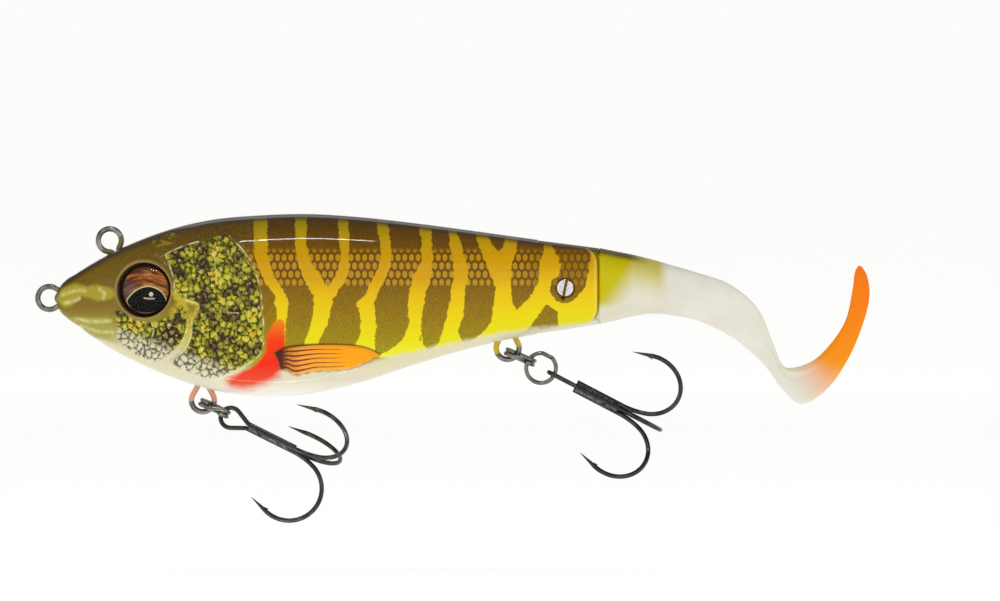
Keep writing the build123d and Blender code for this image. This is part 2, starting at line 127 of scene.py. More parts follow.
RIDGES = [
    [(24, 8.6), (25.3, 9.3), (29, 11), (32.4, 12)],
    [(25.3, 9.3), (26.3, 6.8), (27.2, 4), (27.7, 1), (30, -0.5), (32.9, -1.5)],
    [(32.9, -1.4), (37.3, -2.7), (41, -3.2), (45.4, -2.2)],
    [(32.9, -1.4), (31.2, -4.2), (31, -7), (30.2, -9.9), (28.2, -12.4), (26.4, -13.7)],
    [(35, 11.2), (35.9, 8.4), (36, 5.4)],
    [(26.4, -13.7), (30.7, -16.1), (35.4, -17.3), (40.4, -15.6), (45.2, -12.4), (46.4, -9.5)],
    [(46.4, -9.5), (46.3, -4), (45.7, 1.5), (44.3, 6.4), (42, 10.1), (39, 13.2)],
    [(30.1, -3.4), (30, -6.6), (28.6, -9.8), (26.2, -12.2), (23.2, -13.7), (19.6, -12.8)],
    [(22.5, -5.2), (22.9, -7), (22.4, -9), (23, -11)],
]
SNOUT = [
    (1.2, 0.4), (2.7, 2.1), (6, 3.1), (8.3, 2.5), (11.6, 2.6), (14, 1.6), (14.4, 0.2),
    (11, -0.6), (8.6, 0.2), (6, -0.2), (4.6, -1.8), (3, -1.6),
]
# Lines on the snout and jaw: shallow grooves, with a pale painted reflection along them
SNOUT_STREAKS = [
    [(3, 0.7), (5.2, 1.4), (7.8, 1.5)],
    [(3.4, -1.1), (5.2, -0.8), (6.6, -0.1)],
    [(6, -4.6), (9.6, -5.1), (13.4, -4.9)],
    [(6.8, -6.2), (10.4, -7.2), (13.8, -7.4)],
    [(11.2, 1.9), (12.2, 0.8), (12, 0)],
]
FLECKS = [(23.6, 12.2), (26.4, 12.9)]
RED_PATCH = [
    (47.7, -6.6), (48.6, -5), (50.7, -4.8), (51, -8), (50.9, -10.9), (48.7, -11.8),
    (49.6, -13.2), (49.8, -15.3), (47.6, -16.9), (43.6, -18.4), (40.6, -18.5), (39.2, -17.7),
    (41.5, -16.3), (46.2, -12.6), (46.9, -9),
]
# The pectoral fin's edges from its root to its tip: (x, z)
FIN_TOP = [(48.7, -11.8), (51.4, -10.5), (56.6, -10), (62.7, -10), (67, -10.4),
           (69.5, -11.2), (71.2, -12.1)]
FIN_BOTTOM = [(48.7, -12), (49.5, -13.4), (49.9, -15.2), (51.5, -15.6), (53.2, -16.5),
              (57.4, -15.6), (60.9, -15.5), (65.1, -15), (68.6, -13.5), (71.2, -12.1)]
FIN_RAYS = 6
FIELD_REACH = 3.0

# Yellow stripes of the flank from top to bottom: (z, front x, rear x)
YELLOW_STRIPES = [
    [(17.5, 44, 46.9), (12.9, 44.2, 47.2), (9.5, 44.3, 47.2), (6.9, 45, 47.8),
     (3.4, 46.6, 49.4), (0.4, 48.9, 51.3), (-1.2, 48.6, 51.8), (-2.8, 49.2, 51.5),
     (-6, 48.9, 51.1), (-10, 48.6, 50.9)],
    [(17.6, 52.9, 55.5), (13.2, 53.1, 55.4), (11.2, 53.1, 55.5), (7.7, 53.7, 56.5),
     (3.9, 55, 59.1), (0.6, 57, 61.4), (-2.6, 57.1, 60.7), (-5.8, 56.4, 59.9),
     (-9.2, 55.1, 58.2), (-10.2, 55, 57.8)],
    [(17.4, 62.1, 64.2), (12.5, 62.4, 64.7), (9.2, 62.9, 64.5), (6, 62.3, 64.8),
     (3.4, 60.8, 63.8), (1.7, 59.8, 62.4), (0, 58.6, 61.4)],
    [(16.6, 70.4, 72.7), (12.9, 70.9, 73.3), (9.9, 71.5, 73.7), (6.9, 71, 73.4),
     (3.9, 69.5, 72.3), (0.6, 68.1, 70.5), (-0.9, 66.3, 70.1), (-3, 66.8, 70.1),
     (-5.8, 67.1, 70.4), (-8.2, 66.9, 70.2), (-10, 65.9, 70), (-12.6, 65.6, 70.4)],
    [(15.8, 79.5, 81.4), (11.4, 80.1, 82.3), (7.7, 80.1, 82.2), (4.5, 78.2, 81.7),
     (1.3, 77.4, 81.1), (-2.2, 77.2, 80.5), (-5.8, 77.5, 79.9), (-9, 76, 79.8),
     (-11, 73.4, 80.2), (-12.8, 70.2, 81)],
    [(15.6, 80.6, 118), (-9, 79.8, 118), (-12.5, 78, 118)],
]
# Dark bands over the rear half's yellow ground, the same way
DARK_BANDS = [
    [(14.9, 82.1, 85.8), (11.1, 82.4, 86.1), (8.1, 82.5, 86.9), (3.6, 82, 86.8),
     (1.5, 81, 86.4), (-1.6, 80.5, 86), (-4.6, 80.1, 85.3), (-7.6, 80.1, 84.5),
     (-10, 80.4, 83.4), (-11, 81.4, 82)],
    [(14.4, 87.4, 91.4), (12, 88.6, 92), (9.9, 88.8, 92.9), (8.1, 89.6, 93.5),
     (6, 90.2, 94.4), (3.7, 90, 95.4), (2.4, 89.5, 96), (0, 89.3, 95.7),
     (-2.5, 89.1, 95.4), (-4.2, 89, 95), (-5.6, 88.3, 94.7), (-7.1, 87.8, 93.4),
     (-8.7, 88.5, 91.6), (-9.6, 89.2, 90)],
    [(13.8, 93.9, 98.6), (12.7, 94.6, 98), (11.4, 95.2, 97.7), (10.2, 96.2, 96.9)],
    [(13.2, 100.3, 106.9), (11.8, 100.5, 106.4), (9.9, 100.4, 106.2), (7.9, 99.5, 105.3),
     (6, 99.3, 105.3), (3.7, 99.3, 105), (1.6, 99.3, 104.2), (-0.2, 99.4, 102.9),
     (-1.8, 99.8, 101.3), (-2.4, 100.3, 100.7)],
    [(12, 107.8, 115.4), (10.7, 108.2, 115.8), (9, 109.3, 116.3), (6.9, 109.8, 116),
     (4.9, 109.6, 115.6), (3.8, 107.9, 115.4), (2.6, 107.5, 115.2), (1.3, 107.6, 114.3),
     (-0.4, 108.7, 112.8), (-1.1, 109.9, 111.5)],
    [(-1.4, 106.6, 107.4), (-2, 106.4, 107.7), (-3, 105.6, 109.4), (-4.2, 104.7, 109.2),
     (-5.9, 103.5, 109.3), (-7.4, 102.3, 109)],
]
# Upper edge of the cream belly: (x, z)
BELLY_LINE = [(0, -4.6), (8, -8.2), (15, -10.2), (24, -14.2), (35, -18),
              (45.6, -17.9), (49, -15.2), (53, -15.4), (58, -15.6), (65, -15), (70.5, -13.4),
              (79, -11.5), (88.5, -9.5), (97.8, -7.5), (108, -6.3), (118, -5.6)]

# The pupil around the eye's centre
PUPIL = [(-4.1, -2.1), (-2.1, 0), (0.6, 0.8), (3.2, -0.2), (4.5, -2.1), (4, -3.3),
         (2.4, -4.5), (0.1, -4.9), (-2.3, -4.5), (-3.6, -3.5)]
# A painted highlight on the iris: a pale dot and a dash below it, standing for the lamps' reflection
# in the lens
CATCHLIGHT = (1.1, -0.9)
CATCHLIGHT_R = 0.48
CATCH_DASH = (-0.5, 1.9, -1.85)  # from x, to x, z

# Soft tail: (x, top z, bottom z, half width), then the ribbon's paired edge points
TAIL_STATIONS = [
    (118.1, 10.8, -5.7, 5.9), (121.5, 10.1, -4.9, 5.5), (125, 9.4, -4, 4.9),
    (129.5, 8.3, -3.4, 3.9), (134, 7, -3.8, 2.7),
]
TONGUE_STATIONS = [(104.95, 12.4, -7.6, 7), (112, 11.5, -6.6, 6.6), (118.1, 10.7, -5.6, 6.1)]
TONGUE_HALF = 2.8
ROOT_GAP = 0.12
# The bead along the ribbon's inner edge; its width is a share of the ribbon's half breadth
BEAD_HEIGHT, HOLLOW_DEPTH, BEAD_WIDTH = 0.35, 0.28, 0.16
# (inner x, inner z, outer x, outer z, half thickness, how far the inner edge leans to -Y)
RIBBON = [
    (139, 5.5, 139, -4.8, 1.7, 0), (146.1, 3, 144.8, -7.3, 1.25, 0.3),
    (152.1, -2.1, 149.6, -10.6, 1.1, 0.7), (155.6, -9.9, 154.2, -15, 1.05, 0.9),
    (157.6, -14.4, 157.3, -19.3, 1, 0.4), (160.2, -14.9, 161.6, -22.8, 0.95, -0.5),
    (164.4, -13.3, 167.2, -19.5, 0.9, -0.8), (168.2, -9.5, 172, -12.5, 0.85, -0.5),
    (171.2, -4.6, 175.1, -4.9, 0.8, -0.2), (172.6, 1.7, 176.3, 0.6, 0.7, 0),
    (173.1, 5.4, 175.8, 4.6, 0.6, 0), (173.9, 7, 174.7, 6.7, 0.35, 0),
]


# ---- numbers ----
def smoothstep(low, high, value):
    t = np.clip((value - low) / (high - low), 0.0, 1.0)
    return t * t * (3.0 - 2.0 * t)


def bell(distance, width):
    """1 on a line, fading to either side of it."""
    return np.exp(-((distance / width) ** 2))


def through(x, stations):
    """Smooth curves through stations, read at x. The stations' first column is x."""
    table = np.array(stations, float)
    knots, values = table[:, 0], table[:, 1:]
    slopes = np.gradient(values, knots, axis=0)
    i = np.clip(np.searchsorted(knots, x) - 1, 0, len(knots) - 2)
    step = (knots[i + 1] - knots[i])[..., None]
    t = (np.asarray(x) - knots[i])[..., None] / step
    made = (
        values[i] * (1 + 2 * t) * (1 - t) ** 2
        + values[i + 1] * t * t * (3 - 2 * t)
        + slopes[i] * step * t * (1 - t) ** 2
        + slopes[i + 1] * step * t * t * (t - 1)
    )
    return [made[..., k] for k in range(made.shape[-1])]


def curve(points, steps=6, closed=False):
    """More points along a smooth line through the given ones."""
    given = [*points, points[0], points[1]] if closed else list(points)
    if closed:
        given = [points[-1], *given]
    knots = np.arange(len(given), dtype=float)
    stations = [(k, *p) for k, p in zip(knots, given)]
    low, high = (1.0, len(points) + 1.0) if closed else (0.0, len(points) - 1.0)
    count = int(round((high - low) * steps))
    at = np.linspace(low, high, count + 1)
    x, z = through(at, stations)
    made = np.column_stack([x, z])
    return made[:-1] if closed else made


def line_distance(x, z, line):
    """How far each point lies from a line in side view."""
    nearest = np.full(x.shape, 1e9)
    for (ax, az), (bx, bz) in zip(line[:-1], line[1:]):
        length2 = max((bx - ax) ** 2 + (bz - az) ** 2, 1e-12)
        t = np.clip(((x - ax) * (bx - ax) + (z - az) * (bz - az)) / length2, 0.0, 1.0)
        nearest = np.minimum(nearest, np.hypot(x - ax - t * (bx - ax), z - az - t * (bz - az)))
    return nearest


def inside(x, z, outline):
    """Distance to a closed outline, above 0 inside it."""
    ring = np.vstack([outline, outline[:1]])
    within = np.zeros(x.shape, bool)
    for (ax, az), (bx, bz) in zip(ring[:-1], ring[1:]):
        if az == bz:
            continue
        crosses = (az > z) != (bz > z)
        within ^= crosses & (x < ax + (z - az) * (bx - ax) / (bz - az))
    distance = line_distance(x, z, ring)
    return np.where(within, distance, -distance)


def patch(x, z, outline):
    """Distance to an outline, above 0 inside it, cut off where it no longer matters."""
    return np.clip(inside(x, z, outline), -FIELD_REACH, FIELD_REACH)


def banded(x, z, rows):
    """Distance to the sides of a stripe given as (z, front x, rear x), above 0 inside."""
    table = np.array(sorted(rows), float)
    front = np.interp(z, table[:, 0], table[:, 1])
    rear = np.interp(z, table[:, 0], table[:, 2])
    beyond = np.maximum(table[0, 0] - z, z - table[-1, 0])
    return np.minimum(np.minimum(x - front, rear - x), -beyond)


def scatter(a, b, seed):
    """A repeatable number from 0 to 1 for each pair of whole numbers."""
    value = np.sin(a * 127.1 + b * 311.7 + seed * 74.7) * 43758.5453
    return value - np.floor(value)


def bubbles(x, z, size, seed):
    """Round cells on a jittered grid: (0 at a cell's edge to 1 at its top, the cell's own number)."""
    u, v = x / size, z / size
    cell_u, cell_v = np.floor(u), np.floor(v)
    nearest = np.full(x.shape, 9.0)
    second = np.full(x.shape, 9.0)
    owner = np.zeros(x.shape)
    for du in (-1, 0, 1):
        for dv in (-1, 0, 1):
            cu, cv = cell_u + du, cell_v + dv
            shift_u = 0.05 + 0.90 * scatter(cu, cv, seed)
            shift_v = 0.05 + 0.90 * scatter(cu, cv, seed + 1)
            away = np.hypot(u - cu - shift_u, v - cv - shift_v)
            second = np.minimum(second, np.maximum(nearest, away))
            owner = np.where(away < nearest, scatter(cu, cv, seed + 2), owner)
            nearest = np.minimum(nearest, away)
    return np.clip(second - nearest, 0.0, 1.0), owner


def waves(x, z, size, seed):
    """Soft repeatable variation around 0, for warping and mottling."""
    a = np.sin(x / size * 2.1 + seed) * np.cos(z / size * 1.7 + 2.3 * seed)
    b = np.sin((x + z) / size * 3.4 + 1.3 * seed) * np.cos((x - 1.4 * z) / size * 2.6)
    return 0.6 * a + 0.4 * b


# ---- meshes ----
def section(top, bottom, half, rows):
    """Half sections as (y, z) from the top ridge round the side to the bottom ridge."""
    t = np.linspace(0.0, 1.0, rows // 2 + 1)
    b0, b1, b2, b3 = (1 - t) ** 3, 3 * t * (1 - t) ** 2, 3 * t * t * (1 - t), t ** 3
    top, bottom, half = (np.asarray(v)[..., None] for v in (top, bottom, half))
    middle = (top + bottom) / 2
    reach = FULLNESS * (top - middle)
    upper_y = half * (FULLNESS * b1 + b2 + b3)
    upper_z = top * (b0 + b1) + (middle + reach) * b2 + middle * b3
    lower_y = half * (b0 + b1 + FULLNESS * b2)
    lower_z = middle * b0 + (middle - reach) * b1 + bottom * (b2 + b3)
    y = np.concatenate([upper_y, lower_y[..., 1:]], axis=-1)
    z = np.concatenate([upper_z, lower_z[..., 1:]], axis=-1)
    return y, z


def grid_faces(columns, rows, flip=False):
    index = np.arange(columns * rows).reshape(columns, rows)
    a, b, c, d = index[:-1, :-1], index[1:, :-1], index[1:, 1:], index[:-1, 1:]
    order = (a, d, c, b) if flip else (a, b, c, d)
    return np.stack(order, axis=-1).reshape(-1, 4).tolist()


def mesh_piece(name, points, faces, attributes=None, sharp_angle=40.0):
    """A mesh object from points in millimetres, with smooth shading and named values per point."""
    mesh = bpy.data.meshes.new(name)
    mesh.from_pydata((np.asarray(points) * MM).tolist(), [], faces)
    for key, values in (attributes or {}).items():
        layer = mesh.attributes.new(key, "FLOAT", "POINT")
        layer.data.foreach_set("value", np.asarray(values, np.float32).ravel())
    mesh.polygons.foreach_set("use_smooth", [True] * len(mesh.polygons))
    mesh.set_sharp_from_angle(angle=math.radians(sharp_angle))
    mesh.validate()
    made = bpy.data.objects.new(name, mesh)
    bpy.context.scene.collection.objects.link(made)
    return made


def merge_doubles(made, distance=1e-7):
    """Joins points that lie on each other, so that no face has an edge of no length."""
    work = bmesh.new()
    work.from_mesh(made.data)
    bmesh.ops.remove_doubles(work, verts=work.verts, dist=distance)
    bmesh.ops.dissolve_degenerate(work, edges=work.edges, dist=distance)
    bmesh.ops.recalc_face_normals(work, faces=work.faces)
    work.to_mesh(made.data)
    work.free()


# ---- the hard body's skin ----
def body_columns():
    """Places of the skin's columns: close together on the head, which has the fine relief."""
    fine = 1.0
    spans = [(NOSE_X, 3.0, 0.12), (3.0, 50.0, 0.22), (50.0, SLOT_FRONT, 0.33),
             (SLOT_FRONT, BODY_END, 0.3)]
    parts = []
    for low, high, step in spans:
        count = max(2, int(round((high - low) / (step * fine))))
        parts.append(np.linspace(low, high, count + 1)[1:])
    rounding = BODY_END - RIM_ROUND * (1 - np.sin(np.linspace(0.0, math.pi / 2, 6)))
    parts[-1] = np.concatenate([parts[-1][parts[-1] < BODY_END - RIM_ROUND], rounding])
    return np.concatenate([[NOSE_X], *parts])


def plate_end(z):
    """Where the plate behind the screw ends at height z, with its rounded corners."""
    _, top, bottom, _ = BODY_STATIONS[-1]
    over = np.maximum(z - (top - PLATE_CORNER_R), (bottom + PLATE_CORNER_R) - z)
    over = np.clip(over, 0.0, PLATE_CORNER_R)
    return BODY_END - PLATE_CORNER_R + np.sqrt(PLATE_CORNER_R ** 2 - over ** 2)


def body_surface(rows):
    """The plain right half of the body as grids of x, y, z, columns by rows."""
    columns = body_columns()
    x = np.repeat(columns[:, None], rows + 1, axis=1)
    _, z = section(*through(columns, BODY_STATIONS), rows)
    bend = smoothstep(PLATE_BEND_FROM, BODY_END, x)
    x = x - (BODY_END - plate_end(z)) * bend
    top, bottom, half = through(x, BODY_STATIONS)
    y_all, z_all = section(top, bottom, half, rows)
    picked = np.arange(rows + 1)
    y = y_all[:, picked, picked]
    z = z_all[:, picked, picked]
    return x, y, z


def grid_normals(x, y, z):
    along = np.stack([np.gradient(v, axis=0) for v in (x, y, z)], axis=-1)
    down = np.stack([np.gradient(v, axis=1) for v in (x, y, z)], axis=-1)
    normal = np.cross(down, along)
    length = np.linalg.norm(normal, axis=-1, keepdims=True)
    normal = normal / np.maximum(length, 1e-9)
    outward = np.sign(normal[..., 1:2] + 1e-6)
    return normal * outward


def side_fields(x, z):
    """What is painted or raised at each place of the side view, as distances in millimetres."""
    yellow = np.max([banded(x, z, rows) for rows in YELLOW_STRIPES], axis=0)
    dark = np.max([banded(x, z, rows) for rows in DARK_BANDS], axis=0)
    fields = {
        "yellow": np.clip(np.minimum(yellow, -dark), -FIELD_REACH, FIELD_REACH),
        "belly": np.clip(z - np.interp(x, *zip(*BELLY_LINE)), -2 * FIELD_REACH, 2 * FIELD_REACH),
        "fleck": line_distance(x, z, FLECKS),
        "eye": np.hypot((x - EYE[0]) / math.cos(EYE_YAW), z - EYE[1]),
    }
    patches = {"operculum": OPERCULUM, "cheek": CHEEK, "snout": SNOUT, "red": RED_PATCH}
    for name, outline in patches.items():
        fields[name] = patch(x, z, curve(outline, 4, closed=True))
    for name, group in {"ridge": RIDGES, "streak": SNOUT_STREAKS}.items():
        fields[name] = np.min([line_distance(x, z, curve(line, 5)) for line in group], axis=0)
    fields.update(fin_fields(x, z))
    fields.update(gill_cells(x, z))
    return fields


def fin_fields(x, z):
    top = curve(FIN_TOP, 5)
    bottom = curve(FIN_BOTTOM, 5)
    high = np.interp(x, top[:, 0], top[:, 1])
    low = np.interp(x, bottom[:, 0], bottom[:, 1])
    bottom[:, 1] += 0.20 * np.sin(bottom[:, 0] * 2.9) * smoothstep(52.0, 54.0, bottom[:, 0])
    outline = np.vstack([top, bottom[::-1][1:-1]])
    across = np.clip((z - low) / np.maximum(high - low, 0.2), 0.0, 1.0)
    along = np.clip((x - FIN_TOP[0][0]) / (FIN_TOP[-1][0] - FIN_TOP[0][0]), 0.0, 1.0)
    return {
        "fin": patch(x, z, outline),
        "fin_along": along,
        "fin_across": across,
    }


def gill_cells(x, z):
    turned_x, turned_z = 0.82 * x + 0.57 * z, 0.82 * z - 0.57 * x
    warp_x = turned_x + CELL_WARP * waves(x, z, 0.8, 1.0)
    warp_z = turned_z + CELL_WARP * waves(z, x, 0.8, 2.0)
    coarse, owner = bubbles(warp_x, warp_z, COARSE_CELL, 3.0)
    fine, _ = bubbles(warp_x, warp_z, FINE_CELL, 8.0)
    return {"bubble": coarse, "grain": fine, "owner": owner}


def relief(fields):
    """How far the skin stands out of the plain body, in millimetres."""
    plate = np.maximum(fields["operculum"], fields["cheek"])
    on_plate = smoothstep(0.0, 0.5, plate)
    bumps = COARSE_BUMP * smoothstep(0.02, 0.50, fields["bubble"])
    bumps = bumps + FINE_BUMP * smoothstep(0.0, 0.5, fields["grain"])
    height = PLATE_STEP * smoothstep(-0.25, 0.25, plate) + on_plate * (bumps - BUMP_SINK)
    height += RIDGE_HEIGHT * bell(fields["ridge"], RIDGE_WIDTH)
    height -= CHANNEL_DEPTH * bell(plate, CHANNEL_WIDTH)
    on_fin = smoothstep(-0.05, 0.45, fields["fin"])
    from_ray = np.abs((fields["fin_across"] * FIN_RAYS + 0.5) % 1.0 - 0.5)
    groove = smoothstep(0.30, 0.0, from_ray) * smoothstep(0.80, 0.4, fields["fin_along"])
    height += on_fin * (FIN_HEIGHT - RAY_GROOVE * groove)
    height += EYE_RING_HEIGHT * bell(fields["eye"] - EYE_RING_R, EYE_RING_WIDTH)
    height -= STREAK_DEPTH * bell(fields["streak"], STREAK_WIDTH)
    return height


def sink_eye(points):
    """Presses the eye's seat into the right half."""
    centre = np.array([EYE[0], EYE_SURFACE_Y, EYE[1]])
    axis = np.array([-math.sin(EYE_YAW), math.cos(EYE_YAW), 0.0])
    rel = points - centre
    along = rel @ axis
    away = np.linalg.norm(rel - along[..., None] * axis, axis=-1)
    share = smoothstep(EYE_RIM_R, EYE_SEAT_R, away)
    share = np.where(along < -4.5, 0.0, share)
    return points - (share * (along + EYE_SEAT_DEPTH + 0.05))[..., None] * axis


def sink_screw(points):
    """Presses in the screw's recess and the small notch in its rim."""
    away = np.hypot(points[..., 0] - SCREW[0], points[..., 2] - SCREW[1])
    from_notch = np.hypot(points[..., 0] - RIM_NOTCH[0], points[..., 2] - RIM_NOTCH[1])
    notch = smoothstep(NOTCH_R + 0.15, NOTCH_R - 0.05, from_notch)
    share = np.maximum(smoothstep(SCREW_WELL_R + 0.22, SCREW_WELL_R, away), 0.7 * notch)
    sunk = points.copy()
    sunk[..., 1] -= share * SCREW_WELL_DEPTH
    return sunk


def rim_rounding(x, z):
    """How far the skin turns in at the plate's rear edge."""
    t = np.clip(1.0 - (plate_end(z) - x) / RIM_ROUND, 0.0, 1.0)
    return RIM_ROUND * (1.0 - np.sqrt(1.0 - t * t))


def body_skin(name, side, nodes):
    """One half of the hard body: side is 1 for the right (+Y) half and -1 for the left."""
    rows = 196
    x, y, z = body_surface(rows)
    normals = grid_normals(x, y, z)
    fields = side_fields(x, z)
    top = through(x[:, 0], BODY_STATIONS)[0]
    fields["below_top"] = np.clip(top[:, None] - z, 0.0, 12.0)
    fields["rim"] = np.clip(plate_end(z) - x, 0.0, 6.0)
    height = relief(fields) - rim_rounding(x, z) * (x > RIM_FROM)
    height -= SEAM_DEPTH * smoothstep(SEAM_WIDTH, 0.0, y)
    points = np.stack([x, y, z], axis=-1) + height[..., None] * normals
    points = sink_eye(points)
    if side < 0:
        points = sink_screw(points)
    points[:, 0, 1] = 0.0
    points[:, -1, 1] = 0.0
    slot_at = int(np.searchsorted(x[:, rows // 2], SLOT_FRONT + 1e-6)) - 1
    points, fields = cut_slot(points, fields, slot_at)
    faces = grid_faces(*points.shape[:2], flip=side > 0)
    points, faces, fields = close_half(points, faces, fields, slot_at)
    points[:, 1] *= side
    made = mesh_piece(name, points, faces, fields, sharp_angle=50.0)
    merge_doubles(made)
    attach(made, "root")
    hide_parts(*nodes)
    return made


def cut_slot(points, fields, slot_at):
    """Opens the slot for the tail's tongue: rows nearer the middle move to the slot's wall."""
    doubled = np.concatenate([points[:slot_at + 1], points[slot_at:]])
    fields = {k: np.concatenate([v[:slot_at + 1], v[slot_at:]]) for k, v in fields.items()}
    half_rows = doubled.shape[1] // 2
    for column in doubled[slot_at + 1:]:
        for rows in (slice(0, half_rows), slice(None, half_rows, -1)):
            part = column[rows]
            near = part[:, 1] < SLOT_HALF
            edge = [np.interp(SLOT_HALF, part[:, 1], part[:, k]) for k in range(3)]
            part[near] = edge
    return doubled, fields


def close_half(points, faces, fields, slot_at):
    """Closes a half: the middle plane, the slot's front and wall, and the plate's rear edge."""
    columns, rows = points.shape[:2]
    index = np.arange(columns * rows).reshape(columns, rows)
    tops, bottoms = index[:, 0], index[:, -1]
    middle = [*tops[:slot_at + 1].tolist(), *bottoms[:slot_at + 1][::-1].tolist()]
    front = [tops[slot_at], bottoms[slot_at], bottoms[slot_at + 1], tops[slot_at + 1]]
    flat = points.reshape(-1, 3)
    end = points[-1].copy()
    end[:, 1] = SLOT_HALF
    first_end = len(flat)
    wall_end = list(range(first_end, first_end + rows))
    for a, b, wa, wb in zip(index[-1][:-1], index[-1][1:], wall_end[:-1], wall_end[1:]):
        faces.append([int(a), int(b), wb, wa])
    wall = [*tops[slot_at + 1:].tolist(), *wall_end[1:-1], *bottoms[slot_at + 1:][::-1].tolist()]
    faces.extend([middle, [int(i) for i in front], wall])
    values = {k: np.concatenate([v.ravel(), v[-1]]) for k, v in fields.items()}
    return np.vstack([flat, end]), faces, values


# ---- eyes ----
def eye_frame(side):
    """The eye's own axes in the lure's frame: along the head, out of the head, and up."""
    turn = Matrix.Rotation(EYE_YAW * side, 4, "Z")
    centre = Vector((EYE[0], side * EYE_SURFACE_Y, EYE[1]))
    out = np.array((turn @ Vector((0.0, side, 0.0))).to_3d())
    along = np.array((turn @ Vector((1.0, 0.0, 0.0))).to_3d())
    return np.array(centre), along, out, np.array([0.0, 0.0, 1.0])


def polar(rings, spokes):
    """Radius shares and angles of a disc, its centre ring drawn in to a point."""
    share = np.repeat(np.linspace(0.002, 1.0, rings)[:, None], spokes + 1, axis=1)
    angle = np.repeat(np.linspace(0.0, 2 * math.pi, spokes + 1)[None], rings, axis=0)
    return share, angle


def eye_disc(name, side, radius, height, nodes, rim=None):
    """A round piece of the eye. height(share) is how far its face stands out of the skin."""
    share, angle = polar(40, 96)
    a = share * radius * np.cos(angle)
    b = share * radius * np.sin(angle)
    out = height(share)
    if rim is not None:
        a, b, out = (np.vstack([v, v[-1:]]) for v in (a, b, out))
        out[-1] = rim
    centre, along, outward, up = eye_frame(side)
    points = centre + a[..., None] * along + b[..., None] * up + out[..., None] * outward
    pupil = inside(a, b, curve(PUPIL, 8, closed=True))
    values = {"pupil": pupil.ravel(), "eye_x": a.ravel(), "eye_z": b.ravel()}
    faces = grid_faces(points.shape[0], points.shape[1], flip=side < 0)
    made = mesh_piece(name, points.reshape(-1, 3), faces, values, sharp_angle=60.0)
    merge_doubles(made, 2e-6)
    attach(made, "root")
    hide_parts(*nodes)
    return made


def iris_height(share):
    """A shallow dish."""
    return -EYE_SEAT_DEPTH + IRIS_THICK - 0.35 * (1 - share ** 2)


def lens_height(share):
    """The lens's dome."""
    base = -EYE_SEAT_DEPTH + IRIS_THICK + LENS_EDGE
    radius = (LENS_R ** 2 + LENS_RISE ** 2) / (2 * LENS_RISE)
    return base + np.sqrt(radius ** 2 - (share * LENS_R) ** 2) - (radius - LENS_RISE)


# ---- the soft tail ----
def tail_rings(rows):
    """Rings of the tail from the tongue's front to the ribbon's tip, with how far along each is."""
    rings, reach = [], []
    for x in np.linspace(TONGUE_STATIONS[0][0], TONGUE_STATIONS[-1][0], 16):
        top, bottom, half = (float(v) for v in through(np.array(x), TONGUE_STATIONS))
        ring = closed_ring((x, top), (x, bottom), half, 0.0, rows)
        ring[:, 1] = np.clip(ring[:, 1], -TONGUE_HALF, TONGUE_HALF)
        rings.append(ring)
        reach.append(-1.0)
    edges = [(x, top, x, bottom, half, 0.0) for x, top, bottom, half in TAIL_STATIONS] + RIBBON
    stations = [(k, *e) for k, e in enumerate(edges)]
    last = len(edges) - 1
    for k in np.linspace(0.0, last, 24 * last + 1):
        ux, uz, lx, lz, half, lean = (float(v) for v in through(np.array(k), stations))
        shrink = 0.5 * max(0.0, 1 - k / 0.12) ** 2
        ring = closed_ring((ux, uz - shrink), (lx, lz + shrink), half - shrink, lean, rows)
        if k == 0.0:  # the root's front edge follows the plates' rounded corners
            ring[:, 0] = plate_end(ring[:, 2]) + ROOT_GAP
        rings.append(ring)
        reach.append(k / last)
    return rings, reach


def closed_ring(upper, lower, half, lean, rows):
    """One ring between an upper and a lower edge point, leaning out of the side view by lean."""
    y, v = section(np.array(1.0), np.array(-1.0), np.array(half), rows)
    y = np.concatenate([y, -y[::-1][1:-1]])
    v = np.concatenate([v, v[::-1][1:-1]])
    upper, lower = np.array(upper), np.array(lower)
    middle, arm = (upper + lower) / 2, (upper - lower) / 2
    return np.column_stack([middle[0] + arm[0] * v, y - lean * v, middle[1] + arm[1] * v])


def tail_bead(across, reach):
    """The thicker bead along the ribbon's inner edge and the hollow beside it."""
    length = smoothstep(0.42, 0.50, reach) * smoothstep(0.74, 0.64, reach)
    bead = BEAD_HEIGHT * bell(across - 0.78, BEAD_WIDTH)
    hollow = HOLLOW_DEPTH * bell(across - 0.42, BEAD_WIDTH)
    return length * (bead - hollow)


def tail_skin():
    rows = 96
    rings, reach = tail_rings(rows)
    points = np.array(rings)
    count = points.shape[1]
    across = section(np.array(1.0), np.array(-1.0), np.array(1.0), rows)[1]
    across = np.concatenate([across, across[::-1][1:-1]])
    along = np.repeat(np.array(reach)[:, None], count, axis=1)
    across = np.repeat(across[None], len(rings), axis=0)
    swell = tail_bead(across, along)
    points[..., 1] += np.sign(points[..., 1]) * swell * smoothstep(0.0, 0.4, np.abs(points[..., 1]))
    closed = np.concatenate([points, points[:, :1]], axis=1)
    faces = grid_faces(len(rings), count + 1)
    flat = closed.reshape(-1, 3)
    first = list(range(count))
    tip = [(len(rings) - 1) * (count + 1) + k for k in range(count)]
    faces.extend([first[::-1], tip])
    spread = {"along": along, "across": across}
    values = {k: np.concatenate([v, v[:, :1]], axis=1).ravel() for k, v in spread.items()}
    values["rest_x"], values["rest_z"] = flat[:, 0], flat[:, 2]
    depth = points[..., 2].max(axis=1, keepdims=True) - points[..., 2]
    values["below_top"] = np.concatenate([depth, depth[:, :1]], axis=1).ravel()
    made = mesh_piece("soft_tail_skin", flat, faces, values, sharp_angle=60.0)
    merge_doubles(made)
    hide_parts("tail_root", "tail_blade")
    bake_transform(made)
    return made


# ---- materials ----
def srgb(red, green, blue):
    """A display colour from 0 to 255 as the linear colour that nodes take."""
    linear = [((c / 255 + 0.055) / 1.055) ** 2.4 if c > 10 else c / 255 / 12.92
              for c in (red, green, blue)]
    return (*linear, 1.0)


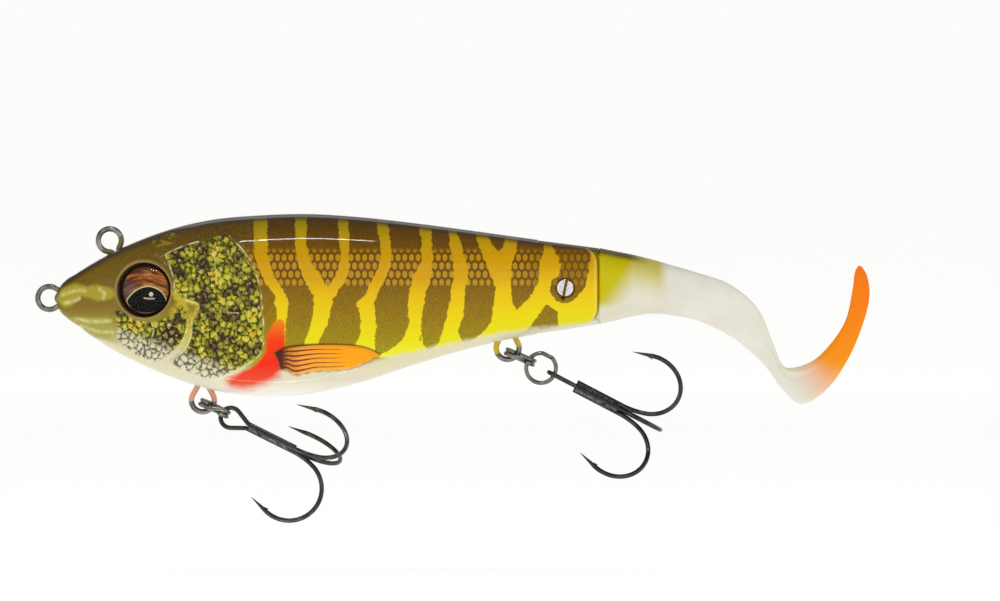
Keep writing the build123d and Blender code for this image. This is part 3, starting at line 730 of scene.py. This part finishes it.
class Nodes:
    """One material's node tree, with a short call for each kind of node used here."""

    def __init__(self, name):
        self.material = bpy.data.materials.new(name)
        self.material.use_nodes = True
        self.tree = self.material.node_tree
        self.tree.nodes.clear()
        self.place = self.node("TexCoord", {}).outputs["Object"]

    def put(self, socket, value):
        if isinstance(value, bpy.types.NodeSocket):
            self.tree.links.new(value, socket)
        else:
            socket.default_value = value

    def node(self, kind, inputs, **settings):
        made = self.tree.nodes.new("ShaderNode" + kind)
        for name, value in settings.items():
            setattr(made, name, value)
        for name, value in inputs.items():
            self.put(made.inputs[name], value)
        return made

    def math(self, operation, a, b=0.0):
        return self.node("Math", {0: a, 1: b}, operation=operation).outputs[0]

    def times(self, a, b):
        return self.math("MULTIPLY", a, b)

    def plus(self, a, b):
        return self.math("ADD", a, b)

    def span(self, value, low, high, first=0.0, last=1.0):
        """first where value is at low or beyond, last where it is at high or beyond."""
        inputs = {"Value": value, "From Min": low, "From Max": high, "To Min": first, "To Max": last}
        made = self.node("MapRange", inputs, interpolation_type="SMOOTHSTEP")
        return made.outputs["Result"]

    def field(self, name):
        return self.node("Attribute", {}, attribute_name=name).outputs["Fac"]

    def far(self, a, b):
        """The distance from (0, 0) to (a, b)."""
        return self.math("SQRT", self.plus(self.times(a, a), self.times(b, b)))

    def wobble(self, size, amount, detail=2.0):
        """Noise around 0 with amount between its lowest and highest value."""
        return self.times(self.plus(self.noise(size, detail), -0.5), amount)

    def noise(self, size, detail=2.0, roughness=0.5):
        """Noise with features of about size millimetres."""
        inputs = {"Vector": self.place, "Scale": 1.0 / (size * MM), "Detail": detail,
                  "Roughness": roughness}
        return self.node("TexNoise", inputs).outputs["Fac"]

    def mix(self, factor, a, b, blend="MIX"):
        made = self.node("Mix", {0: factor, 6: a, 7: b}, data_type="RGBA", blend_type=blend)
        return made.outputs[2]

    def ramp(self, value, stops):
        """A colour for each value: stops are (value, red, green, blue), the value in its own units."""
        low, high = stops[0][0], stops[-1][0]
        inputs = {"Value": value, "From Min": low, "From Max": high}
        share = self.node("MapRange", inputs).outputs["Result"]
        made = self.node("ValToRGB", {"Fac": share})
        elements = made.color_ramp.elements
        while len(elements) < len(stops):
            elements.new(0.5)
        for element, (at, *_) in zip(elements, stops):
            element.position = (at - low) / (high - low)
        for element, (_, *colour) in zip(elements, stops):
            element.color = srgb(*colour)
        return made.outputs["Color"]

    def bump(self, height, strength, depth):
        """A normal bent by a height from 0 to 1, which stands for depth millimetres."""
        inputs = {"Height": height, "Strength": strength, "Distance": depth * MM}
        return self.node("Bump", inputs).outputs["Normal"]

    def surface(self, **inputs):
        """The Principled shader with these inputs, as the material's surface."""
        named = {k.replace("_", " "): v for k, v in inputs.items()}
        shader = self.node("BsdfPrincipled", named)
        self.node("OutputMaterial", {"Surface": shader.outputs[0]})
        return self.material


def side_axes(p):
    """x and z in millimetres, from the piece's own coordinates."""
    parts = p.node("SeparateXYZ", {"Vector": p.place})
    return p.times(parts.outputs["X"], 1 / MM), p.times(parts.outputs["Z"], 1 / MM)


def rim_notch_shade(p, x, z):
    """Painted shade in the small notch under the screw, on the left side alone."""
    sideways = p.node("SeparateXYZ", {"Vector": p.place}).outputs["Y"]
    away = p.far(p.plus(x, -RIM_NOTCH[0]), p.plus(z, -RIM_NOTCH[1]))
    return p.times(p.span(away, NOTCH_R + 0.08, NOTCH_R - 0.06), p.math("LESS_THAN", sideways, 0.0))


NET_PITCH = 1.43
NET_ROW = 1.80
HEX_ROW = math.sqrt(3) / 2


def scale_net(p, x, z):
    """Six-sided scales: how far each place is from its scale's middle, 0.5 on the outline."""
    u = p.math("PINGPONG", p.times(x, 1 / NET_PITCH), 0.5)
    v = p.math("PINGPONG", p.times(p.plus(z, 0.35), HEX_ROW / NET_ROW), HEX_ROW)

    def hexagon(a, b):
        slant = p.plus(p.times(a, 0.5), p.times(b, HEX_ROW))
        return p.math("MAXIMUM", a, slant)

    shifted = hexagon(p.math("SUBTRACT", 0.5, u), p.math("SUBTRACT", HEX_ROW, v))
    return p.math("MINIMUM", hexagon(u, v), shifted)


DARK_RAMP = [
    (-13, 166, 154, 12), (-9, 156, 134, 6), (-5, 150, 120, 4),
    (0.5, 136, 104, 4), (4, 126, 88, 6), (9, 120, 80, 6),
    (12.5, 106, 72, 12), (15, 94, 64, 14), (18, 78, 54, 16),
]
YELLOW_RAMP = [
    (-13, 236, 232, 60), (-9, 234, 224, 0), (-5, 238, 212, 0),
    (0, 236, 194, 0), (4, 220, 166, 0), (8, 210, 158, 0),
    (12, 196, 156, 6), (15, 170, 144, 8), (18, 140, 122, 14),
]
HEAD_RAMP = [
    (-18, 236, 230, 206), (-12, 222, 216, 178), (-8, 190, 184, 118),
    (-5, 156, 138, 50), (-2, 132, 108, 28), (2, 118, 92, 20),
    (6, 114, 90, 22), (10, 104, 80, 20), (14, 88, 64, 18),
    (18, 76, 54, 18),
]


def flank_colour(p, x, z):
    """Stripes and bands with the printed scales, before the head and belly are laid over."""
    ragged = p.plus(p.times(p.noise(1.1, 3.0), 1.1), p.times(p.noise(0.35, 1.0), 0.4))
    edge = p.plus(p.field("yellow"), p.plus(ragged, -0.75))
    on_yellow = p.span(edge, -0.12, 0.12)
    fleck = p.span(p.noise(0.30, 1.0), 0.30, 0.72, 0.80, 1.22)
    flecks = p.node("CombineColor", {0: fleck, 1: fleck, 2: fleck}).outputs[0]
    dark = p.mix(1.0, p.ramp(z, DARK_RAMP), flecks, "MULTIPLY")
    rear = p.span(x, 78.0, 112.0, 0.0, -3.0)  # the yellow turns to lemon towards the tail
    yellow = p.ramp(p.plus(z, rear), YELLOW_RAMP)
    within = scale_net(p, x, z)
    window = p.times(p.span(z, 1.9, 3.2), p.span(z, 11.0, 9.4))
    window = p.times(window, p.span(x, 100.0, 107.0, 1.0, 0.45))
    outline = p.times(p.span(within, 0.42, 0.475), window)
    cell = p.times(p.span(within, 0.45, 0.24), window)
    scaled = p.mix(p.times(cell, 0.78), dark, srgb(202, 152, 20))
    scaled = p.mix(p.times(outline, 0.80), scaled, srgb(84, 50, 8))
    yellow = p.mix(p.times(outline, 0.22), yellow, srgb(180, 120, 4))
    return p.mix(on_yellow, scaled, yellow)


def head_colour(p, x, z, under):
    head = p.mix(p.span(x, 45.5, 38.0), under, p.ramp(z, HEAD_RAMP))
    mottle = p.span(p.noise(0.5, 3.0), 0.35, 0.7, 0.0, 0.25)
    head = p.mix(p.times(mottle, p.span(x, 47.0, 43.0)), head, srgb(150, 128, 44))
    snout = p.span(p.plus(p.field("snout"), p.times(p.noise(1.6, 3.0), 1.2)), 0.1, 1.1)
    head = p.mix(p.times(snout, 0.85), head, srgb(178, 164, 48))
    lower = p.times(p.span(z, -3.6, -4.8), p.span(x, 15.0, 12.0))
    head = p.mix(p.times(lower, p.span(z, -11.0, -7.0)), head, srgb(168, 160, 74))
    # The pale streaks are a painted reflection along the snout's grooves, broken up by noise
    broken_sheen = p.span(p.noise(1.2, 2.0), 0.3, 0.6, 0.3, 1.0)
    streak = p.times(p.span(p.field("streak"), 0.75, 0.0), broken_sheen)
    flecks = p.times(p.span(p.noise(1.1, 2.0), 0.50, 0.60), p.span(p.field("fleck"), 1.6, 0.8))
    head = p.mix(p.times(flecks, 0.7), head, srgb(176, 162, 20))
    return p.mix(p.times(streak, 0.75), head, srgb(222, 218, 140))


def plate_colour(p, x, z, under):
    """The gill plates: green and yellow bubbles with painted shade in their hollows, painted
    highlights on their tops and as glints, pale low down, and pale ridges that are partly a painted
    highlight.
    """
    plate = p.math("MAXIMUM", p.field("operculum"), p.field("cheek"))
    between = p.times(p.span(x, 25.5, 27.5), p.span(x, 35.0, 33.4))
    beside = p.times(p.span(plate, -1.5, -0.6), between)
    beside = p.times(beside, p.times(p.span(z, -12.0, -8.5), p.span(z, 3.5, 0.5)))
    channel = p.times(beside, p.span(p.noise(1.3, 2.0), 0.34, 0.60, 0.2, 0.75))
    under = p.mix(channel, under, srgb(214, 192, 40))
    owner = p.field("owner")
    patch = p.noise(3.2, 3.0)
    cells = p.ramp(p.plus(p.times(owner, 0.22), p.times(patch, 1.10)), [
        (0.46, 80, 58, 36), (0.54, 100, 80, 38), (0.60, 122, 116, 28),
        (0.66, 146, 146, 30), (0.73, 190, 180, 44), (0.82, 222, 206, 60),
        (0.92, 204, 160, 36),
    ])
    low = p.plus(z, p.times(p.plus(x, -22.0), 0.36))  # the pale part starts lower towards the tail
    pale = p.mix(p.span(low, -7.5, -11.0), cells, srgb(224, 220, 190))
    # Painted shade: the hollows between the bubbles and the fine grain are darkened
    hollow = p.span(p.field("bubble"), 0.30, 0.06)
    fine = p.span(p.field("grain"), 0.14, 0.02, 0.0, 0.35)
    shade = p.mix(p.span(low, -7.5, -10.5), srgb(44, 36, 16), srgb(92, 84, 54))
    shaded = p.mix(p.math("MAXIMUM", p.times(hollow, 0.92), fine), pale, shade)
    # Painted highlight: lighter bubble tops and small pale glints
    crown_highlight = p.span(p.field("bubble"), 0.40, 0.75)
    shaded = p.mix(p.times(crown_highlight, 0.30), shaded, srgb(206, 206, 90))
    glint = p.times(p.span(p.field("bubble"), 0.25, 0.45), p.span(p.noise(0.40), 0.58, 0.68))
    shaded = p.mix(p.times(glint, 0.75), shaded, srgb(238, 236, 186))
    made = p.mix(p.span(plate, -0.05, 0.3), under, shaded)
    # The pale ridges are partly a painted highlight on their crests
    ridge = p.span(p.field("ridge"), 0.26, 0.06)
    broken = p.span(p.noise(1.4, 2.0), 0.42, 0.62, 0.05, 0.85)
    return p.mix(p.times(ridge, broken), made, srgb(232, 228, 160))


def fin_colour(p, z, under):
    red = p.ramp(z, [(-18.5, 222, 76, 48), (-14, 240, 38, 0), (-9, 244, 60, 0),
                     (-7, 240, 96, 4), (-4.5, 232, 140, 8)])
    soft = p.span(z, -14.5, -17.5, 0.0, 0.9)
    edge = p.plus(p.field("red"), p.times(p.noise(1.3, 2.0), 0.9))
    on_red = p.span(p.plus(edge, soft), p.math("SUBTRACT", 0.1, soft), p.plus(0.9, soft))
    made = p.mix(on_red, under, red)
    along = p.field("fin_along")
    orange = p.ramp(along, [
        (0, 54, 20, 10), (0.07, 76, 28, 14), (0.14, 206, 122, 50),
        (0.26, 246, 158, 54), (0.6, 255, 164, 12), (1, 248, 158, 4),
    ])
    across = p.field("fin_across")
    from_ray = p.math("PINGPONG", p.times(across, FIN_RAYS), 0.5)
    reach = p.plus(along, p.wobble(1.5, 0.25))
    width = p.span(reach, 0.05, 0.60, 0.20, 0.05)
    line = p.times(p.span(p.math("SUBTRACT", from_ray, width), 0.06, -0.03), p.span(reach, 0.72, 0.56))
    orange = p.mix(p.times(line, 0.92), orange, srgb(92, 32, 8))
    frayed = p.times(p.span(across, 0.16, 0.02), p.span(p.noise(0.8), 0.42, 0.60))
    orange = p.mix(p.times(frayed, 0.6), orange, srgb(255, 214, 120))
    fin = p.field("fin")
    upper = p.span(across, 0.5, 0.9, 0.35, 0.85)
    made = p.mix(p.times(p.span(fin, -0.45, -0.05), upper), made, srgb(84, 50, 16))
    return p.mix(p.span(fin, -0.05, 0.12), made, orange)


def painted_body():
    p = Nodes("painted_body")
    x, z = side_axes(p)
    colour = head_colour(p, x, z, flank_colour(p, x, z))
    back = p.span(p.field("below_top"), 2.0, 0.5)
    colour = p.mix(p.times(back, 0.9), colour, srgb(58, 46, 28))
    belly_edge = p.plus(p.field("belly"), p.wobble(2.5, 1.2))
    cream = p.ramp(z, [(-21, 240, 236, 224), (-17.5, 220, 212, 188),
                       (-14, 222, 213, 176), (-6, 226, 221, 188)])
    colour = p.mix(p.span(belly_edge, 0.9, -0.5), colour, cream)
    colour = fin_colour(p, z, colour)
    colour = plate_colour(p, x, z, colour)
    eye = p.field("eye")
    # A pale rim round the eye's seat, partly a painted highlight on the raised ring
    colour = p.mix(p.span(eye, 6.5, 6.1, 0.0, 0.55), colour, srgb(168, 148, 92))
    colour = p.mix(p.span(eye, 6.00, 5.80), colour, srgb(84, 62, 38))
    colour = p.mix(p.span(eye, 5.60, 5.40), colour, srgb(64, 46, 30))
    # Painted highlight: a thin pale line just inside the plate's rounded rear edge
    rim = p.field("rim")
    line = p.times(p.span(rim, 0.30, 0.45), p.span(rim, 0.90, 0.70))
    colour = p.mix(p.times(line, 0.30), colour, srgb(240, 226, 130))
    # Painted shade: the notch under the screw is painted nearly black
    colour = p.mix(rim_notch_shade(p, x, z), colour, srgb(26, 18, 12))
    normal = p.bump(p.noise(0.5, 2.0), 0.08, 0.05)
    return p.surface(Base_Color=colour, Roughness=0.45, Normal=normal, Specular_IOR_Level=0.04,
                     Coat_Weight=1.0, Coat_Roughness=0.04, Coat_IOR=1.25)


def iris_paint():
    """Amber and brown above a black pupil with a pale edge, and a painted reflection of two lamps: a
    pale dot and a dash.
    """
    p = Nodes("eye_iris")
    eye_x, eye_z = p.field("eye_x"), p.field("eye_z")
    pupil = p.field("pupil")
    bent = p.plus(eye_z, p.times(p.times(eye_x, eye_x), 0.05))
    place = p.node("CombineXYZ", {"X": p.times(eye_x, 0.16), "Y": p.times(bent, 0.75)}).outputs[0]
    streaks = p.node("TexNoise", {"Vector": place, "Scale": 1.0, "Detail": 2.0}).outputs["Fac"]
    amber = p.ramp(p.plus(streaks, p.times(eye_x, 0.012)), [
        (0.28, 58, 26, 12), (0.38, 108, 54, 20), (0.46, 156, 88, 34),
        (0.52, 208, 136, 72), (0.57, 164, 90, 34), (0.64, 104, 50, 20),
        (0.74, 70, 32, 16),
    ])
    gloom = p.span(eye_z, 3.0, 4.8, 0.0, 0.85)
    amber = p.mix(gloom, amber, srgb(44, 26, 16))
    band_edge = p.plus(bent, p.wobble(2.2, 1.6))
    band = p.times(p.span(band_edge, 1.2, 1.7), p.span(band_edge, 2.7, 2.1))
    amber = p.mix(p.times(band, 0.7), amber, srgb(78, 38, 20))
    grey = p.times(p.span(eye_x, -1.0, -3.6), p.span(eye_z, 2.4, 0.6))
    amber = p.mix(p.times(grey, 0.7), amber, srgb(84, 82, 92))
    away = p.math("ABSOLUTE", p.plus(pupil, 0.02))
    upper = p.span(eye_z, -4.2, -3.2, 0.25, 1.0)
    colour = p.mix(p.span(pupil, -0.06, 0.06), amber, srgb(8, 8, 12))
    colour = p.mix(p.times(p.span(away, 0.22, 0.08), upper), colour, srgb(214, 200, 150))
    colour = p.mix(p.span(p.far(eye_x, eye_z), 4.90, 5.12), colour, srgb(34, 24, 18))
    # Painted highlight: a pale dot and dash that stand for the lamps' reflection in the lens
    away_x, away_z = p.plus(eye_x, -CATCHLIGHT[0]), p.plus(eye_z, -CATCHLIGHT[1])
    dot = p.span(p.far(away_x, away_z), CATCHLIGHT_R + 0.06, CATCHLIGHT_R - 0.06)
    left, right, level = CATCH_DASH
    ends = p.times(p.span(eye_x, left - 0.2, left + 0.2), p.span(eye_x, right + 0.2, right - 0.2))
    sag = p.times(p.times(away_x, away_x), -0.06)
    thin = p.math("ABSOLUTE", p.plus(p.plus(eye_z, sag), -level))
    painted_glint_dash = p.times(p.span(thin, 0.24, 0.12), ends)
    colour = p.mix(p.math("MAXIMUM", dot, p.times(painted_glint_dash, 0.7)), colour, srgb(216, 214, 190))
    return p.surface(Base_Color=colour, Roughness=0.5, Specular_IOR_Level=0.1)


def lens_clear():
    """Clear resin: light passes straight through, and the dome mirrors the lamps."""
    p = Nodes("eye_lens")
    clear = p.node("BsdfTransparent", {"Color": (0.97, 0.95, 0.92, 1.0)})
    gloss = p.node("BsdfGlossy", {"Color": (1.0, 1.0, 1.0, 1.0), "Roughness": 0.02})
    fresnel = p.node("Fresnel", {"IOR": LENS_IOR}).outputs[0]
    both = p.node("MixShader", {0: fresnel, 1: clear.outputs[0], 2: gloss.outputs[0]})
    p.node("OutputMaterial", {"Surface": both.outputs[0]})
    return p.material


def soft_tail():
    """Translucent pearl with a painted root, an orange tip and a painted highlight along the bead."""
    p = Nodes("soft_tail")
    x, z = p.field("rest_x"), p.field("rest_z")
    along, across = p.field("along"), p.field("across")
    below = p.field("below_top")
    pearl = p.mix(p.span(p.noise(7.0, 2.0), 0.3, 0.7), srgb(229, 226, 212), srgb(234, 232, 223))
    # The yellow reaches further down where it is nearer the plate
    edge = p.plus(p.times(x, 1.35), p.times(z, -1.0))
    yellow = p.mix(p.span(below, 1.0, 5.0), srgb(196, 182, 2), srgb(206, 194, 0))
    strength = p.times(p.span(edge, 170.5, 159.5), p.span(z, -3.0, -0.6))
    faint = p.times(p.span(x, 133.6, 130.4), p.span(below, 9.0, 1.5, 0.12, 0.84))
    colour = p.mix(p.math("MAXIMUM", strength, faint), pearl, yellow)
    back = p.times(p.span(below, 2.0, 0.5), p.span(x, 129.5, 124.0))
    colour = p.mix(p.times(back, 0.92), colour, srgb(70, 56, 26))
    # Painted highlight: the bead along the ribbon's inner edge is painted lighter
    beaded = p.times(p.span(along, 0.40, 0.5), p.span(along, 0.72, 0.66))
    bead = p.times(p.span(across, 0.45, 0.9), beaded)
    colour = p.mix(p.times(bead, 0.5), colour, srgb(236, 234, 200))
    tip = p.plus(along, p.times(across, 0.012))
    orange = p.ramp(tip, [(0.62, 242, 186, 150), (0.72, 255, 156, 12),
                          (0.84, 254, 134, 0), (1, 250, 120, 0)])
    colour = p.mix(p.span(tip, 0.61, 0.73), colour, orange)
    normal = p.bump(p.noise(0.8, 2.0), 0.06, 0.1)
    return p.surface(Base_Color=colour, Roughness=0.42, Normal=normal, Specular_IOR_Level=0.12,
                     Subsurface_Weight=0.35, Subsurface_Radius=(1.0, 0.8, 0.6),
                     Subsurface_Scale=0.0015, Coat_Weight=0.12, Coat_Roughness=0.15)


def worn_metal(name, dark, light, roughness, grain=2.0):
    """Bare wire: a drawn surface whose tone and gloss vary along it."""
    p = Nodes(name)
    streak = p.noise(grain, 3.0, 0.5)
    colour = p.mix(p.span(streak, 0.25, 0.75), dark, light)
    rough = p.span(streak, 0.3, 0.7, roughness * 0.8, roughness * 1.3)
    normal = p.bump(p.noise(0.6, 2.0), 0.06, 0.03)
    return p.surface(Base_Color=colour, Metallic=1.0, Roughness=rough, Normal=normal)


def coated_wire(name, paint_colour, towards, line):
    """Wire with body paint on the stretch that lies past line millimetres along towards (x, z)."""
    p = Nodes(name)
    x, z = side_axes(p)
    metal = p.mix(p.span(p.noise(2.0, 3.0), 0.25, 0.75), srgb(96, 96, 92), srgb(150, 148, 142))
    along = p.plus(p.times(x, towards[0]), p.times(z, towards[1]))
    edge = p.plus(along, p.wobble(0.9, 1.6, 3.0))
    painted = p.span(edge, line - 0.1, line + 0.1)
    colour = p.mix(painted, metal, paint_colour)
    bare = p.math("SUBTRACT", 1.0, painted)
    normal = p.bump(p.noise(0.6, 2.0), 0.06, 0.03)
    return p.surface(Base_Color=colour, Metallic=bare, Roughness=0.26, Normal=normal)


def braze_metal():
    p = Nodes("braze")
    lumps = p.noise(0.7, 3.0)
    colour = p.mix(p.span(lumps, 0.35, 0.7), srgb(46, 46, 48), srgb(128, 128, 128))
    normal = p.bump(lumps, 0.5, 0.15)
    return p.surface(Base_Color=colour, Metallic=1.0, Roughness=0.32, Normal=normal)


def set_material(made, material):
    made.data.materials.clear()
    made.data.materials.append(material)


def finish_nodes():
    """Materials of the CAD parts that stay as they are."""
    ring = worn_metal("split_ring", srgb(96, 96, 90), srgb(140, 138, 130), 0.2)
    hook = worn_metal("hook", srgb(50, 50, 50), srgb(82, 81, 79), 0.2)
    screw = worn_metal("screw", srgb(196, 196, 198), srgb(236, 236, 236), 0.2, grain=0.3)
    brass = worn_metal("insert", srgb(190, 150, 70), srgb(214, 176, 96), 0.3)
    lead = worn_metal("ballast", srgb(90, 92, 96), srgb(130, 132, 136), 0.5)
    nose = coated_wire("nose_tie_paint", srgb(150, 142, 60), (1.0, 0.0), 1.5)
    top = coated_wire("top_tie_paint", srgb(112, 98, 30), (0.6, -0.8), -1.4)
    front = coated_wire("front_hanger_paint", srgb(216, 160, 124), (0.0, 1.0), -22.2)
    rear = coated_wire("rear_hanger_paint", srgb(206, 178, 16), (-0.3, 1.0), -40.8)
    braze = braze_metal()
    finishes = {
        "nose_line_tie": nose, "top_line_tie": top, "front_hook_hanger": front,
        "rear_hook_hanger": rear, "front_ballast": lead, "middle_ballast": lead,
        "rear_ballast": lead, "tail_lock_screw": screw, "tail_lock_insert": brass,
        "front_split_ring": ring, "rear_upper_split_ring": ring,
        "rear_lower_split_ring": ring, "front_treble_braze": braze,
        "rear_treble_braze": braze,
    }
    for end in ("front", "rear"):
        finishes[f"{end}_treble_eye_hook"] = hook
        finishes[f"{end}_treble_side_hooks"] = hook
    for name, material in finishes.items():
        set_material(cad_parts[name], material)


# ---- studio ----
LURE_MIDDLE = (0.09, 0.0, 0.0)
CAMERA_PLACE = (0.09686, -1.4926, -0.00054)
CAMERA_LENS, CAMERA_SENSOR = 250.0, 36.0
# The bowl in metres: the radius of its flat part, which is wider than any view of the lure
# stands off, the radius of its turn, its wall's height, and its drop below the hooks
BOWL_FLAT, BOWL_TURN, BOWL_WALL, BOWL_DROP = 3.4, 1.2, 1.0, 0.022
BOWL_SPOKES = 48
BOWL_TURN_STEPS = 8
# Lamps whose mirror image shows at (x, z) of the flank: name, (x, z), distance, size, watts
GLINT_LAMPS = [
    ("upper_strip", (54.0, 12.9), 0.75, (0.17, 0.018), 0.62),
    ("lower_strip", (51.0, -18.0), 0.04, (0.05, 0.0012), 0.004),
]
# Soft lamps that face the lure: name, place, size, watts
SOFT_LAMPS = [
    ("key", (-0.5, -0.9, 0.9), (0.5, 0.5), 1.8),
    ("fill", (0.9, -0.8, 0.5), (0.5, 0.5), 1.0),
    ("back", (0.1, 0.9, 0.9), (0.7, 0.4), 1.0),
]
SKY_COLOUR, SKY_STRENGTH = (1.0, 0.995, 0.985, 1.0), 0.22


def camera():
    data = bpy.data.cameras.new("camera")
    data.lens = CAMERA_LENS
    data.sensor_width = CAMERA_SENSOR
    made = bpy.data.objects.new("camera", data)
    made.location = CAMERA_PLACE
    made.rotation_euler = (math.radians(90.0), 0.0, 0.0)
    bpy.context.scene.collection.objects.link(made)
    bpy.context.scene.camera = made


def bowl():
    """A pale floor that turns up into a low wall all round, so that no edge shows."""
    floor_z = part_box("rear_treble_side_hooks")[0].z
    floor_z = min(floor_z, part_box("front_treble_side_hooks")[0].z) - BOWL_DROP
    profile = [(0.0, 0.0), (BOWL_FLAT * 0.5, 0.0), (BOWL_FLAT, 0.0)]
    for k in range(1, BOWL_TURN_STEPS + 1):
        angle = math.pi / 2 * k / BOWL_TURN_STEPS
        rise = BOWL_TURN * (1 - math.cos(angle))
        profile.append((BOWL_FLAT + BOWL_TURN * math.sin(angle), rise))
    profile.append((BOWL_FLAT + BOWL_TURN, BOWL_TURN + BOWL_WALL))
    points = []
    for r, h in profile:
        r = max(r, 0.001)
        for s in range(BOWL_SPOKES):
            angle = 2 * math.pi * s / BOWL_SPOKES
            x = LURE_MIDDLE[0] + r * math.cos(angle)
            points.append((x, r * math.sin(angle), floor_z + h))
    faces = []
    for ring in range(len(profile) - 1):
        for s in range(BOWL_SPOKES):
            a, b = ring * BOWL_SPOKES + s, ring * BOWL_SPOKES + (s + 1) % BOWL_SPOKES
            faces.append([a, b, b + BOWL_SPOKES, a + BOWL_SPOKES])
    faces.append(list(range(BOWL_SPOKES))[::-1])
    made = mesh_piece("floor", np.array(points) / MM, faces)
    p = Nodes("floor")
    set_material(made, p.surface(Base_Color=(0.3, 0.3, 0.297, 1.0), Roughness=0.9,
                                 Emission_Color=(1.0, 1.0, 0.99, 1.0), Emission_Strength=0.80))


def area_lamp(name, place, target, size, power):
    """A lamp of size (long side, short side) at place, its long side level, facing target."""
    data = bpy.data.lights.new(name, "AREA")
    data.shape = "RECTANGLE"
    data.size, data.size_y = size
    data.energy = power
    made = bpy.data.objects.new(name, data)
    away = (Vector(place) - Vector(target)).normalized()
    level = Vector((1.0, 0.0, 0.0))
    level = (level - away * level.dot(away)).normalized()
    up = away.cross(level)
    made.matrix_world = Matrix.Translation(place) @ Matrix((level, up, away)).transposed().to_4x4()
    bpy.context.scene.collection.objects.link(made)


def glint_lamp(name, spot, normal, distance, size, power):
    """A lamp placed so that its mirror image shows at spot, on a glossy surface with that normal."""
    eye = bpy.context.scene.camera.location
    spot = Vector(spot)
    away = (spot - eye).normalized().reflect(Vector(normal).normalized())
    area_lamp(name, spot + away * distance, spot, size, power)


def flank_at(x, z):
    """A point of the left flank and its outward normal."""
    gx, gy, gz = body_surface(96)
    normals = grid_normals(gx, gy, gz)
    i, j = np.unravel_index(np.argmin(np.hypot(gx - x, gz - z)), gx.shape)
    point = Vector((gx[i, j], -gy[i, j], gz[i, j])) * MM
    nx, ny, nz = normals[i, j]
    return point, Vector((nx, -ny, nz))


def lamps():
    world = bpy.data.worlds.new("world")
    bpy.context.scene.world = world
    world.use_nodes = True
    background = world.node_tree.nodes["Background"]
    background.inputs["Color"].default_value = SKY_COLOUR
    background.inputs["Strength"].default_value = SKY_STRENGTH
    for name, place, distance, size, power in GLINT_LAMPS:
        spot, normal = flank_at(*place)
        glint_lamp(name, spot, normal, distance, size, power)
    for name, place, size, power in SOFT_LAMPS:
        area_lamp(name, place, LURE_MIDDLE, size, power)


# ---- the scene ----
def build():
    paint, iris, lens = painted_body(), iris_paint(), lens_clear()
    for name, side in (("left", -1), ("right", 1)):
        skin = body_skin(f"{name}_body_skin", side, [f"{name}_body_shell"])
        set_material(skin, paint)
        iris_disc = eye_disc(f"{name}_iris_disc", side, IRIS_R, iris_height,
                             [f"{name}_eye_iris"], rim=-EYE_SEAT_DEPTH)
        set_material(iris_disc, iris)
        dome = eye_disc(f"{name}_lens_dome", side, LENS_R, lens_height,
                        [f"{name}_eye_lens"], rim=-EYE_SEAT_DEPTH + IRIS_THICK + 0.05)
        set_material(dome, lens)
    set_material(tail_skin(), soft_tail())
    finish_nodes()


build()
camera()
bowl()
lamps()
bpy.context.scene.view_settings.view_transform = "Standard"
